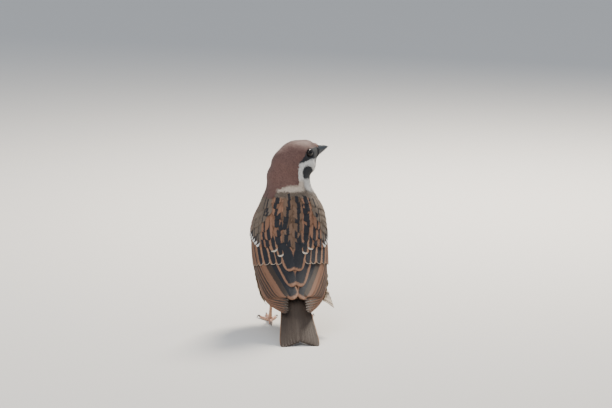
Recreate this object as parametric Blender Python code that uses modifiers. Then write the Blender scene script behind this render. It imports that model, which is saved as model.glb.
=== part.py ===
"""A Eurasian tree sparrow, life size: it stands upright on both feet, its back to +Y, its head turned to its right
(-X), its tail laid back onto the floor. The solids give the outline out to the tips of the plumage.

All sizes are in millimetres and are scaled to metres where a mesh is made. Points are (x, y, z): +X is the bird's
left, -Y is ahead of it and +Z is up, with the floor at z = 0.
"""

import math

import bmesh
import bpy
import numpy as np
from mathutils import Matrix, Vector

MM = 0.001
GAP = 0.3  # clearance between neighbouring pieces
FLOOR = [((0, 0, 0), (0, 0, -1))]  # the plane that the model stands on, and the side cut away

# The trunk and neck as sections, from the tail root up. Each has a back point, a middle and a breast point, as
# (y, z), and the half width at its middle.
TRUNK = {
    "tail_root": ((31, 28.5), (28, 25), (25.5, 22), 5.5),
    "rump": ((27, 35), (20, 25.5), (12, 17.5), 14.5),
    "flank": ((22.5, 45), (8, 35), (-4, 20.5), 20.8),
    "belly": ((15.5, 55), (0, 46), (-17, 33), 22.2),
    "breast": ((10.5, 64.5), (-6, 57), (-24, 48), 21.7),
    "shoulder": ((6.5, 73), (-9, 68), (-25.5, 62), 18.4),
    "neck": ((3, 81), (-10, 78), (-23.5, 75), 13.5),
    "throat": ((1, 88.5), (-10.5, 86), (-21.5, 84), 12.6),
    "nape": ((-3, 94), (-11, 92), (-18, 90), 8),
}
# How far the model sways to the bird's right at each height, because its head is turned that way.
SWAY = ((18, 0), (28, 0.7), (55, 1.1), (67, 2.3), (78, 1.7), (86, 1.2), (93, 0.2))
# The outer surface of the folded wings and back, as sections from the wing tips up: back point, middle, half width.
SHELL = {
    "wing_tips": ((57.5, 18), (53, 14.5), 10.4),
    "primaries": ((46, 24.8), (38, 19), 17.7),
    "tertials": ((33.3, 34.5), (23, 26.5), 20.9),
    "flank": ((23.2, 45), (9.5, 35.5), 22.4),
    "belly": ((16, 55), (0, 46), 23.1),
    "breast": ((10.8, 64.5), (-6, 57), 22.1),
    "shoulder": ((6.5, 73), (-9, 68), 18.7),
    "neck": ((3, 81), (-10, 78), 13.6),
}

# The head: its middle, the way the bill points, and its half length, half width and half height.
HEAD_MIDDLE = Vector((-6.3, -11.5, 95.7))
HEAD_TURN_DEG = 62  # to the bird's right
HEAD_TILT_DEG = 9  # bill up
HEAD_HALF = (12.4, 10.6, 9.3)
FACE_HALF = (7.4, 7.4, 8.0)
FACE_AHEAD, FACE_DROP = 6.4, -0.3
CHEEK_HALF = (7.5, 5.4, 6.6)
CHEEK_AHEAD, CHEEK_OUT, CHEEK_DROP = 0.5, 5.6, 4.6
CHIN_HALF = (7.0, 5.6, 6.6)
CHIN_AHEAD, CHIN_DROP = 4.6, 6.2
HINDNECK_HALF = (10.8, 11.0, 13.2)
HINDNECK_BACK, HINDNECK_DROP = 6.8, 6.4
EYE_AHEAD, EYE_OUT, EYE_UP, EYE_RADIUS = 3.9, 7.35, 1.8, 2.35

# The bill, in the head's own frame: length past the skull, and depth and width at its root inside the face.
BILL_LENGTH, BILL_DEPTH, BILL_WIDTH = 10.4, 10.2, 8.4
BILL_ROOT = 8.6  # how far ahead of the head's middle the bill's solid starts
BILL_DROP = 0.35
BILL_TIP_RISE = 0.3  # the tip above the middle of the root

# The tail: a fan of feathers that slopes down to the floor.
TAIL_ROOT = (27.0, 30.0)
TAIL_LENGTH, TAIL_SLOPE_DEG = 54.5, 33.5
TAIL_ROOT_HALF, TAIL_TIP_HALF, TAIL_NOTCH = 4.5, 12.0, 3.0
TAIL_THICK_MIDDLE, TAIL_THICK_EDGE = 2.2, 0.7

# The legs: one side, the other is its mirror image.
FOOT_OUT, FOOT_BACK, ANKLE_HEIGHT = 10.5, 1.5, 2.6
HEEL = (10.0, 8.5, 19.0)
THIGH_TOP = (10.2, 2.5, 28.0)
TARSUS_RADIUS = 1.15
THIGH_TOP_RADIUS, THIGH_LOW_RADIUS = 5.6, 2.4
# Each toe: its angle from straight ahead, its length and its radius at the root.
TOES = {"inner": (-24, 10.0, 1.0), "middle": (2, 14.5, 1.05), "outer": (26, 10.5, 0.95), "hind": (178, 8.0, 1.1)}
TOE_SOLE = 0.16  # how much of a toe's underside is flat, as a share of its radius
CLAWS = {"inner": 4.2, "middle": 5.0, "outer": 4.0, "hind": 6.0}

# Wing plates on the shell: how far round from the back's middle line, in degrees, and which sections they span.
COVERT_LINE = 2.62  # the section that the greater coverts' tips reach
SECONDARY_END = 1.02  # and the one that the secondaries' and tertials' tips reach
WING_THICKNESS = 2.9
SECTION, DEGREES_PER_MM = 12.0, 3.4  # the shell's sections are about this far apart, and its arc turns this much

COLOURS = {
    "chestnut": (0.22, 0.09, 0.06),
    "streaked_brown": (0.21, 0.13, 0.08),
    "pale_neck": (0.55, 0.50, 0.45),
    "wing_brown": (0.16, 0.09, 0.055),
    "tail_brown": (0.12, 0.085, 0.06),
    "buff": (0.42, 0.34, 0.26),
    "horn": (0.035, 0.035, 0.04),
    "leg": (0.45, 0.20, 0.12),
    "eye": (0.01, 0.008, 0.006),
}


def material(name, roughness=0.7):
    made = bpy.data.materials.get(name) or bpy.data.materials.new(name)
    made.use_nodes = True
    shader = made.node_tree.nodes["Principled BSDF"]
    shader.inputs["Base Color"].default_value = (*COLOURS[name], 1)
    shader.inputs["Roughness"].default_value = roughness
    return made


def new_object(name, mesh, colour, roughness=0.7, group="tree_sparrow"):
    obj = bpy.data.objects.new(name, mesh)
    mesh.materials.clear()
    mesh.materials.append(material(colour, roughness))
    mesh.shade_smooth()
    mesh.set_sharp_from_angle(angle=math.radians(50))
    collection(group).objects.link(obj)
    return obj


def collection(name):
    found = bpy.data.collections.get(name)
    if not found:
        found = bpy.data.collections.new(name)
        bpy.context.scene.collection.children.link(found)
    return found


def mesh_of(name, points, faces):
    """A mesh from points in millimetres, its faces turned outwards."""
    mesh = bpy.data.meshes.new(name)
    mesh.from_pydata([tuple(float(c) * MM for c in p) for p in points], [], faces)
    shape = bmesh.new()
    shape.from_mesh(mesh)
    bmesh.ops.recalc_face_normals(shape, faces=shape.faces)
    shape.to_mesh(mesh)
    shape.free()
    return mesh


def loft(name, rings):
    """A closed tube through the rings, an array of (rings, points round each, 3), with a flat cap at each end."""
    rings = np.asarray(rings, float)
    count, around = rings.shape[:2]
    faces = []
    for i in range(count - 1):
        for j in range(around):
            k = (j + 1) % around
            faces.append((i * around + j, i * around + k, (i + 1) * around + k, (i + 1) * around + j))
    faces.append(tuple(range(around)))
    faces.append(tuple((count - 1) * around + j for j in range(around)))
    return mesh_of(name, rings.reshape(-1, 3), faces)


def between(table, at):
    """The table's rows read at fractional places, on a smooth curve through all of them."""
    rows = np.asarray(table, float)
    at = np.clip(np.asarray(at, float), 0, len(rows) - 1)
    low = np.minimum(at.astype(int), len(rows) - 2)
    t = (at - low)[..., None]
    padded = np.vstack([2 * rows[0] - rows[1], rows, 2 * rows[-1] - rows[-2]])
    before, here, there, after = (padded[low + k] for k in range(4))
    return here + 0.5 * t * (
        there - before + t * (2 * before - 5 * here + 4 * there - after + t * (3 * (here - there) + after - before))
    )


def trunk_rings(steps=3, around=32):
    """Rings of the trunk: each half, back and breast, is a quarter ellipse on either side of the section's middle."""
    table = [[*back, *middle, *breast, half] for back, middle, breast, half in TRUNK.values()]
    rows = between(table, np.linspace(0, len(table) - 1, (len(table) - 1) * steps + 1))
    turn = np.linspace(0, 2 * math.pi, around, endpoint=False)
    rings = []
    for back_y, back_z, mid_y, mid_z, breast_y, breast_z, half in rows:
        up = np.clip(np.cos(turn), 0, None)
        down = np.clip(-np.cos(turn), 0, None)
        y = mid_y + up * (back_y - mid_y) + down * (breast_y - mid_y)
        z = mid_z + up * (back_z - mid_z) + down * (breast_z - mid_z)
        rings.append(np.stack([half * np.sin(turn), y, z], axis=1))
    return rings


def shell_point(section, degrees, height=0.0):
    """A point on the wings' outer surface: section counts from the wing tips, degrees from the back's middle line
    towards +X, and height is how far outside the surface it lies."""
    table = [[*back, *middle, half] for back, middle, half in SHELL.values()]
    section, degrees = np.broadcast_arrays(np.asarray(section, float), np.asarray(degrees, float))

    def place(s, d):
        row = between(table, s)
        c, r = np.cos(np.radians(d)), np.sin(np.radians(d))
        y = row[..., 2] + c * (row[..., 0] - row[..., 2])
        z = row[..., 3] + c * (row[..., 1] - row[..., 3])
        return np.stack([row[..., 4] * r, y, z], axis=-1)

    small = 0.05
    along = place(section + small, degrees) - place(section - small, degrees)
    across = place(section, degrees + 1) - place(section, degrees - 1)
    normal = np.cross(along, across)
    normal /= np.linalg.norm(normal, axis=-1, keepdims=True)
    return place(section, degrees) + normal * np.asarray(height, float)[..., None]


def head_frame():
    """The head's axes: x ahead along the bill, y to the bird's left, z up."""
    turn = Matrix.Rotation(math.radians(-90 - HEAD_TURN_DEG), 4, "Z")
    tilt = Matrix.Rotation(math.radians(-HEAD_TILT_DEG), 4, "Y")
    return Matrix.Translation(HEAD_MIDDLE) @ turn @ tilt


def ellipsoid(name, place, half, segments=28):
    """A sphere stretched to these half sizes, at a matrix in millimetres."""
    shape = bmesh.new()
    bmesh.ops.create_uvsphere(shape, u_segments=segments, v_segments=segments // 2, radius=1)
    mesh = bpy.data.meshes.new(name)
    shape.to_mesh(mesh)
    shape.free()
    mesh.transform(Matrix.Scale(MM, 4) @ place @ Matrix.Diagonal((*half, 1)))
    return mesh


def head_meshes():
    head = head_frame()
    parts = [ellipsoid("skull", head, HEAD_HALF)]
    parts.append(ellipsoid("face", head @ Matrix.Translation((FACE_AHEAD, 0, -FACE_DROP)), FACE_HALF))
    parts.append(ellipsoid("chin", head @ Matrix.Translation((CHIN_AHEAD, 0, -CHIN_DROP)), CHIN_HALF))
    for side in (1, -1):
        place = Matrix.Translation((CHEEK_AHEAD, side * CHEEK_OUT, -CHEEK_DROP))
        parts.append(ellipsoid("cheek", head @ place, CHEEK_HALF))
    parts.append(ellipsoid("hindneck", head @ Matrix.Translation((-HINDNECK_BACK, 0, -HINDNECK_DROP)), HINDNECK_HALF))
    return parts


def joined(name, meshes):
    """One mesh holding all of these."""
    shape = bmesh.new()
    for mesh in meshes:
        shape.from_mesh(mesh)
        bpy.data.meshes.remove(mesh)
    whole = bpy.data.meshes.new(name)
    shape.to_mesh(whole)
    shape.free()
    return whole


def evaluated(obj, name):
    """The object's mesh with its modifiers worked in."""
    graph = bpy.context.evaluated_depsgraph_get()
    mesh = bpy.data.meshes.new_from_object(obj.evaluated_get(graph), depsgraph=graph)
    mesh.name = name
    return mesh


def flesh_mesh(voxel=1.1, smoothing=12, keep=0.105):
    """Trunk, neck and head grown together and smoothed, with as few faces as the shape needs."""
    whole = new_object("flesh", joined("flesh", [loft("trunk", trunk_rings()), *head_meshes()]), "buff")
    remesh = whole.modifiers.new("grow_together", "REMESH")
    remesh.mode = "VOXEL"
    remesh.voxel_size = voxel * MM
    smooth = whole.modifiers.new("smooth", "SMOOTH")
    smooth.iterations = smoothing
    fewer = whole.modifiers.new("fewer_faces", "DECIMATE")
    fewer.ratio = keep
    mesh = evaluated(whole, "flesh")
    bpy.data.objects.remove(whole)
    return mesh


def slice_of(mesh, name, cuts):
    """A copy of the mesh kept on one side of each plane, given as (point, normal) in millimetres, and closed."""
    shape = bmesh.new()
    shape.from_mesh(mesh)
    for point, normal in cuts:
        geometry = shape.verts[:] + shape.edges[:] + shape.faces[:]
        cut = bmesh.ops.bisect_plane(
            shape, geom=geometry, plane_co=Vector(point) * MM, plane_no=normal, clear_outer=True, dist=1e-6
        )
        edges = [e for e in cut["geom_cut"] if isinstance(e, bmesh.types.BMEdge)]
        bmesh.ops.contextual_create(shape, geom=edges)
    bmesh.ops.recalc_face_normals(shape, faces=shape.faces)
    kept = bpy.data.meshes.new(name)
    shape.to_mesh(kept)
    shape.free()
    return kept


def cutter(mesh):
    obj = new_object("cutter_" + mesh.name, mesh, "buff", group="cutters")
    obj.hide_render = True
    obj.display_type = "WIRE"
    return obj


def boolean(mesh, others, operation, name):
    """The mesh cut by, or joined with, these other meshes, one after another."""
    for other in others:
        body = new_object("work_" + name, mesh, "buff", group="cutters")
        step = body.modifiers.new(operation, "BOOLEAN")
        step.operation = operation
        step.object = cutter(other)
        mesh = evaluated(body, name)
        for obj in list(collection("cutters").objects):
            bpy.data.objects.remove(obj)
    return mesh


def plate(name, sections, low, high, inner, outer, grow=0.0, lanes=6):
    """A closed plate on the shell. low and high give its edges round the body, in degrees, at each of its sections;
    inner and outer are its heights over the shell, and it thins towards its edges."""
    across = np.linspace(-1, 1, lanes + 1)
    ends = np.linspace(-1, 1, len(sections))
    along = np.array(sections) + grow / SECTION * np.round(ends * 0.5001)
    section = np.repeat(along[:, None], len(across), axis=1)
    edge_low = np.array([low(s) - grow * DEGREES_PER_MM for s in along])[:, None]
    edge_high = np.array([high(s) + grow * DEGREES_PER_MM for s in along])[:, None]
    degrees = edge_low + (edge_high - edge_low) * (across + 1) / 2
    rim = np.maximum(np.abs(across)[None, :] ** 6, np.abs(ends)[:, None] ** 6)
    top = outer - (outer - inner) * 0.22 * rim + grow
    bottom = np.full_like(top, inner - grow)
    points = np.concatenate([shell_point(section, degrees, top), shell_point(section, degrees, bottom)])
    rows, columns = section.shape
    faces = []
    for layer in (0, rows * columns):
        for i in range(rows - 1):
            for j in range(columns - 1):
                a = layer + i * columns + j
                faces.append((a, a + 1, a + columns + 1, a + columns))
    loop = [j for j in range(columns)]
    loop += [i * columns + columns - 1 for i in range(1, rows)]
    loop += [(rows - 1) * columns + j for j in range(columns - 2, -1, -1)]
    loop += [i * columns for i in range(rows - 2, 0, -1)]
    below = rows * columns
    for a, b in zip(loop, loop[1:] + loop[:1]):
        faces.append((a, b, b + below, a + below))
    return mesh_of(name, points.reshape(-1, 3), faces)


def ramp(*pairs):
    """A function that reads between (place, value) pairs with straight lines."""
    places, values = zip(*pairs)
    return lambda at: float(np.interp(at, places, values))


def wing_plates(grow=0.0):
    """The three plates of the left wing: coverts, the panel of tertials and secondaries, and the primaries."""
    seam = 0.35  # half the gap between plates round the body, in degrees
    split = ramp((0.6, 62), (1.2, 62), (COVERT_LINE, 70))
    covert_inner = ramp((COVERT_LINE, 18), (3.4, 40), (4.4, 56), (5, 65), (5.4, 73), (5.6, 79))
    covert_outer = ramp((COVERT_LINE, 104), (4, 103), (4.8, 98), (5.2, 94), (5.45, 90), (5.6, 86))
    tertial_inner = ramp((1, 14), (1.2, 3), (1.5, 1.2), (COVERT_LINE, 1.2))
    primary_outer = ramp((0, 52), (0.4, 76), (1, 92), (1.6, 100), (COVERT_LINE, 104))
    blade_end, panel_start = SECONDARY_END - 0.06, SECONDARY_END - 0.02
    primary_inner = ramp((0, 16), (0.5, 6), (blade_end, 2), (panel_start, 62), (1.2, 62), (COVERT_LINE, 70))
    gap = 0.0 if grow else seam
    low = 0.02 if not grow else 0.0  # half the gap between plates along the body, in sections
    shoulder = np.linspace(COVERT_LINE + low, 5.6, 11)
    panel = np.linspace(SECONDARY_END, COVERT_LINE - low, 9)
    blade = [*np.linspace(0, blade_end, 6), *np.linspace(panel_start, COVERT_LINE - low, 9)]
    deep = -WING_THICKNESS + 0.6
    return [
        plate("coverts", shoulder, covert_inner, covert_outer, -WING_THICKNESS, 0.0, grow),
        plate("secondaries", panel, tertial_inner, lambda s: split(s) - gap, deep, -0.4, grow),
        plate("primaries", blade, lambda s: primary_inner(s) + gap, primary_outer, deep, -0.8, grow),
    ]


def mirrored(mesh, name):
    """The same mesh on the bird's other side."""
    copy = mesh.copy()
    copy.name = name
    copy.transform(Matrix.Scale(-1, 4, (1, 0, 0)))
    copy.flip_normals()
    return copy


def tail_mesh(grow=0.0, steps=8, lanes=8):
    """The fan: a flat wedge, thickest along its middle, with a notch at its end."""
    slope = math.radians(TAIL_SLOPE_DEG)
    ahead = np.array([0, math.cos(slope), -math.sin(slope)])
    upward = np.array([0, math.sin(slope), math.cos(slope)])
    root = np.array([0, *TAIL_ROOT])
    across = np.linspace(-1, 1, lanes + 1)
    rings = []
    for share in np.linspace(-grow / TAIL_LENGTH, 1, steps + 1):
        half = TAIL_ROOT_HALF + (TAIL_TIP_HALF - TAIL_ROOT_HALF) * share + grow
        length = TAIL_LENGTH - TAIL_NOTCH * (1 - np.abs(across)) * share**4
        thick = (TAIL_THICK_EDGE + (TAIL_THICK_MIDDLE - TAIL_THICK_EDGE) * (1 - across**2)) / 2 * (1.1 - 0.6 * share)
        middle = root + (length * share)[:, None] * ahead + (half * across)[:, None] * np.array([1, 0, 0])
        arch = 1.4 * (1 - across**2) * (1 - share)  # rounded at the root, flat at the tip
        top = middle + (arch + thick + grow)[:, None] * upward
        bottom = middle + (arch - thick - grow)[:, None] * upward
        rings.append(np.concatenate([top, bottom[::-1]]))
    return loft("tail", rings)


def tube(name, points, radii, sides=8, grow=0.0):
    """A closed round bar along the points, each with its radius, made larger all round by grow."""
    points = [Vector(p) for p in points]
    points[0] += (points[0] - points[1]).normalized() * grow
    points[-1] += (points[-1] - points[-2]).normalized() * grow
    radii = [radius + grow for radius in radii]
    rings = []
    for i, (point, radius) in enumerate(zip(points, radii)):
        ahead = (points[min(i + 1, len(points) - 1)] - points[max(i - 1, 0)]).normalized()
        side = ahead.cross(Vector((0, 0, 1)) if abs(ahead.z) < 0.9 else Vector((1, 0, 0))).normalized()
        other = side.cross(ahead)
        rings.append(
            [
                point + radius * (math.cos(2 * math.pi * k / sides) * side + math.sin(2 * math.pi * k / sides) * other)
                for k in range(sides)
            ]
        )
    return loft(name, rings)


def toe_frame(toe):
    """Where a toe starts on the left foot, and the way it points."""
    angle = math.radians(TOES[toe][0])
    return Vector((FOOT_OUT, FOOT_BACK, 0)), Vector((math.sin(angle), -math.cos(angle), 0))


def toe_mesh(toe):
    """A toe from the ankle to its end: three pads, flat underneath."""
    _, length, radius = TOES[toe]
    start, ahead = toe_frame(toe)
    height = radius * (1 - TOE_SOLE)
    places, radii = [start + Vector((0, 0, ANKLE_HEIGHT))], [radius * 1.05]
    for share, thick in ((0.16, 1.0), (0.34, 1.02), (0.5, 0.88), (0.66, 0.98), (0.82, 0.84), (0.94, 0.92), (1.0, 0.6)):
        lift = max(0.0, 0.22 - share) / 0.22 * ANKLE_HEIGHT * 0.8
        places.append(start + ahead * length * share + Vector((0, 0, height * thick + lift)))
        radii.append(radius * thick)
    return tube("toe_" + toe, places, radii, sides=7)


def claw_mesh(toe, steps=6):
    """A curved claw: it leaves the toe's end level and bends down to a point just above the floor."""
    _, length, radius = TOES[toe]
    reach = CLAWS[toe]
    start, ahead = toe_frame(toe)
    base = start + ahead * (length + 2 * GAP) + Vector((0, 0, radius * 0.95))
    places, radii = [], []
    for i in range(steps):
        share = i / (steps - 1)
        rise = 0.55 * math.sin(math.pi * min(share * 1.15, 1.0)) - (base.z - 0.22) * share**1.8
        places.append(base + ahead * reach * share + Vector((0, 0, rise)))
        radii.append(0.62 * (1 - share) ** 0.7 + 0.08)
    return tube("claw_" + toe, places, radii, sides=6)


def tarsus_mesh(grow=0.0):
    """The bare shank, from just above the foot to inside the thigh's feathers."""
    low = Vector((FOOT_OUT, FOOT_BACK, ANKLE_HEIGHT + 1.3))
    heel = Vector(HEEL)
    places = [low.lerp(heel, share) for share in (0, 0.12, 0.3, 0.7, 0.9, 1.0)]
    swell = (1.15, 0.95, 0.9, 0.92, 1.1, 1.0)
    return tube("tarsus", places, [TARSUS_RADIUS * s for s in swell], sides=10, grow=grow)


def thigh_mesh(grow=0.0):
    """The feathered upper leg, from the belly down over the heel."""
    top, heel = Vector(THIGH_TOP), Vector(HEEL)
    places = [top.lerp(heel, share) for share in (0, 0.25, 0.5, 0.75, 0.92)]
    radii = [THIGH_TOP_RADIUS + (THIGH_LOW_RADIUS - THIGH_TOP_RADIUS) * share for share in (0.1, 0.2, 0.5, 0.8, 1.05)]
    return tube("thigh", places, radii, sides=14, grow=grow)


def bill_mesh(upper, grow=0.0, steps=7, around=9):
    """Half of the bill, in the head's frame: a cone with a curved ridge above or below a flat cutting edge."""
    sign = 1 if upper else -1
    share_of_depth = 0.62 if upper else 0.38
    length = (BILL_LENGTH if upper else BILL_LENGTH - 0.6) + HEAD_HALF[0] - BILL_ROOT
    turn = np.linspace(0, math.pi, around)
    rings = []
    for i in range(steps):
        share = i / (steps - 1)
        taper = (1 - share**1.35) * 0.93 + 0.07
        depth = BILL_DEPTH * share_of_depth * taper + 3 * grow
        half = BILL_WIDTH / 2 * (1 - share**1.2 * 0.92) + grow
        edge = -BILL_DROP + (BILL_TIP_RISE + BILL_DROP) * share - 0.8 * math.sin(math.pi * share) * 0.25
        edge += sign * (GAP / 2 - 2 * grow)
        x = BILL_ROOT + length * share - (grow if i == 0 else -grow if i == steps - 1 else 0)
        arc = np.stack([np.full(around, x), half * np.cos(turn), edge + sign * depth * np.sin(turn) ** 0.85], axis=1)
        rings.append(arc)
    mesh = loft("bill_upper" if upper else "bill_lower", rings)
    mesh.transform(Matrix.Scale(MM, 4) @ head_frame() @ Matrix.Scale(1 / MM, 4))
    return mesh


def eye_place(side):
    return head_frame() @ Matrix.Translation((EYE_AHEAD, side * EYE_OUT, EYE_UP))


def eye_mesh(side, grow=0.0, segments=16):
    return ellipsoid("eye", eye_place(side), (EYE_RADIUS + grow,) * 3, segments)


def build_head(flesh):
    """Head, neck, bill and eyes."""
    tilt = Vector((0.25, -0.12, 1)).normalized()
    nape = Vector((-2.5, -10.5, 85.5))
    base = Vector((0, -9.5, 77.0))
    lean = Vector((0, -0.18, 1)).normalized()
    head = slice_of(flesh, "head", [(nape + tilt * GAP / 2, -tilt)])
    sockets = [bill_mesh(True, GAP), bill_mesh(False, GAP), eye_mesh(1, GAP), eye_mesh(-1, GAP)]
    new_object("head", boolean(head, sockets, "DIFFERENCE", "head"), "chestnut")
    neck = slice_of(flesh, "neck", [(nape - tilt * GAP / 2, tilt), (base + lean * GAP / 2, -lean)])
    new_object("neck", neck, "pale_neck")
    new_object("bill_upper", bill_mesh(True), "horn", 0.35)
    new_object("bill_lower", bill_mesh(False), "horn", 0.35)
    new_object("eye_left", eye_mesh(1), "eye", 0.05)
    new_object("eye_right", eye_mesh(-1), "eye", 0.05)
    return slice_of(flesh, "trunk", [(base - lean * GAP / 2, lean)])


def build_wings():
    for mesh in wing_plates():
        name = mesh.name.split(".")[0]
        new_object("wing_right_" + name, mirrored(mesh, name + "_right"), "wing_brown")
        new_object("wing_left_" + name, mesh, "wing_brown")


def build_legs():
    """Thighs, shanks, feet and claws of both sides."""
    foot = boolean(toe_mesh("middle"), [toe_mesh(toe) for toe in ("inner", "outer", "hind")], "UNION", "foot")
    foot = boolean(foot, [tarsus_mesh(GAP)], "DIFFERENCE", "foot")
    pieces = {
        "foot": (slice_of(foot, "foot", FLOOR), "leg"),
        "tarsus": (tarsus_mesh(), "leg"),
        "thigh": (boolean(thigh_mesh(), [tarsus_mesh(GAP)], "DIFFERENCE", "thigh"), "buff"),
    }
    for toe in TOES:
        pieces["claw_" + toe] = (claw_mesh(toe), "horn")
    for name, (mesh, colour) in pieces.items():
        limb, _, detail = name.partition("_")
        ending = "_" + detail if detail else ""
        new_object(f"{limb}_right{ending}", mirrored(mesh, name + "_right"), colour)
        new_object(f"{limb}_left{ending}", mesh, colour)


def build_trunk(trunk):
    """The trunk, hollowed where the wings, tail and thighs lie in it."""
    cuts = []
    for mesh in [*wing_plates(GAP), thigh_mesh(GAP), tarsus_mesh(GAP)]:
        cuts += [mirrored(mesh, "other"), mesh]
    cuts.append(tail_mesh(GAP))
    new_object("trunk", boolean(trunk, cuts, "DIFFERENCE", "trunk"), "streaked_brown")
    new_object("tail", slice_of(tail_mesh(), "tail", FLOOR), "tail_brown")


def sway():
    """Leans every piece to the bird's right by an amount that depends only on height, so clearances stay."""
    lean = ramp(*SWAY)
    for obj in collection("tree_sparrow").objects:
        for vertex in obj.data.vertices:
            vertex.co.x -= lean(vertex.co.z / MM) * MM


def stand_on_middle():
    """Moves the whole model so that the middle of its box's underside is the origin."""
    pieces = list(collection("tree_sparrow").objects)
    corners = np.array([v.co[:] for obj in pieces for v in obj.data.vertices])
    low, high = corners.min(axis=0), corners.max(axis=0)
    shift = Vector((-(low[0] + high[0]) / 2, -(low[1] + high[1]) / 2, -low[2]))
    for obj in pieces:
        obj.data.transform(Matrix.Translation(shift))


def main():
    for obj in list(bpy.data.objects):
        bpy.data.objects.remove(obj)
    trunk = build_head(flesh_mesh())
    build_trunk(trunk)
    build_wings()
    build_legs()
    sway()
    stand_on_middle()


main()
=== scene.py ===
"""The finish of a Eurasian tree sparrow, life size: one skin, a coat of small feathers over it, large vanes
on the back, wings and tail, and the eyes, bill, legs and claws.

Shapes are worked out in the bird's own frame, in millimetres: +X is the bird's left, -Y is ahead of it and +Z
is up. placed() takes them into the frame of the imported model. The named sizes are those of the solids.
"""

import math

import bmesh
import bpy
import numpy as np
from mathutils import Matrix, Vector
from mathutils.bvhtree import BVHTree


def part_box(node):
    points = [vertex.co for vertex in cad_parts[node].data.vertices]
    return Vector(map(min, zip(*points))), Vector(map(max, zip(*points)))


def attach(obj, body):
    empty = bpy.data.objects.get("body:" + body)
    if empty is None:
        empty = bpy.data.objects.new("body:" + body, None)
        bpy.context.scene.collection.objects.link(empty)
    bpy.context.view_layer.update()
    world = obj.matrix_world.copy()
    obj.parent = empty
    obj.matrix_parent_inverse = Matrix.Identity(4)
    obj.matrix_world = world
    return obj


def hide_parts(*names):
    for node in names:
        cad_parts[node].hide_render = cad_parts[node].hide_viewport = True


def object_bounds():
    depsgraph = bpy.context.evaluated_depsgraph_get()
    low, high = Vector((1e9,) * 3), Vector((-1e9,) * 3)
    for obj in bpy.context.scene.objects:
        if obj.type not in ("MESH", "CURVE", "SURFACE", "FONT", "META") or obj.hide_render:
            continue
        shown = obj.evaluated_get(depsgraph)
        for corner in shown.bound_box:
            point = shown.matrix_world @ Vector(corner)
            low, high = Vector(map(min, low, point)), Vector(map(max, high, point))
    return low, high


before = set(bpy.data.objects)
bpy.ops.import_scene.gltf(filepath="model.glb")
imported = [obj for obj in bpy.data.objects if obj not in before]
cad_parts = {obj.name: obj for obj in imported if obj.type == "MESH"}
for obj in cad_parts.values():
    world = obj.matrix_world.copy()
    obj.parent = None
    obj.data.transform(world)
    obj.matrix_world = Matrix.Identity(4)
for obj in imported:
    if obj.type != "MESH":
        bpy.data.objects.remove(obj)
cad_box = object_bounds()
rng = np.random.default_rng(7)

MM = 0.001
SIDES = ((1, "left"), (-1, "right"))

# How far the model leans to the bird's right at each height.
SWAY = ((18, 0), (28, 0.7), (55, 1.1), (67, 2.3), (78, 1.7), (86, 1.2), (93, 0.2))
# The outer surface of the folded wings and back, from the wing tips up: its back point and its middle, each
# (y, z), and its half width.
SHELL = {
    "wing_tips": ((57.5, 18), (53, 14.5), 10.4),
    "primaries": ((46, 24.8), (38, 19), 17.7),
    "tertials": ((33.3, 34.5), (23, 26.5), 20.9),
    "flank": ((23.2, 45), (9.5, 35.5), 22.4),
    "belly": ((16, 55), (0, 46), 23.1),
    "breast": ((10.8, 64.5), (-6, 57), 22.1),
    "shoulder": ((6.5, 73), (-9, 68), 18.7),
    "neck": ((3, 81), (-10, 78), 13.6),
}

HEAD_MIDDLE = Vector((-6.3, -11.5, 95.7))
HEAD_TURN_DEG = 62
HEAD_TILT_DEG = 9
FACE_HALF = (7.4, 7.4, 8.0)
FACE_AHEAD, FACE_DROP = 6.4, -0.3
EYE_AHEAD, EYE_OUT, EYE_UP, EYE_RADIUS = 3.9, 7.35, 1.8, 2.35
BILL_LENGTH, BILL_DEPTH, BILL_WIDTH = 10.4, 10.2, 8.4
BILL_ROOT, BILL_FACE = 8.6, 12.4  # where its solid starts, and where it leaves the face
UPPER_BILL, LOWER_BILL = 0.62, 0.38  # the halves' shares of its depth
BILL_DROP, BILL_TIP_RISE = 0.35, 0.3
EDGE_SINK = 0.35  # how far the finished cutting edge lies below the solid's

TAIL_ROOT = (27.0, 30.0)
TAIL_LENGTH, TAIL_NOTCH, TAIL_SLOPE_DEG = 54.5, 3.0, 33.5

FOOT_OUT, FOOT_BACK, ANKLE_HEIGHT = 10.5, 1.5, 2.6
HEEL, THIGH_TOP = np.array([10.0, 8.5, 19.0]), np.array([10.2, 2.5, 28.0])
TARSUS_RADIUS = 1.15
# Each toe's direction in degrees, its length and its radius.
TOES = {
    "inner": (-24, 10.0, 1.0),
    "middle": (2, 14.5, 1.05),
    "outer": (26, 10.5, 0.95),
    "hind": (178, 8.0, 1.1),
}
TOE_SOLE = 0.16
CLAWS = {"inner": 4.2, "middle": 5.0, "outer": 4.0, "hind": 6.0}
CLAW_GAP = 0.6

FLESH = ("head", "neck", "trunk", "thigh_left", "thigh_right", "wing_left_coverts", "wing_right_coverts")
FLESH_GROWTH = 0.2  # closes the thin cuts between the flesh nodes
SKIN_VOXEL = 0.6

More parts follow.
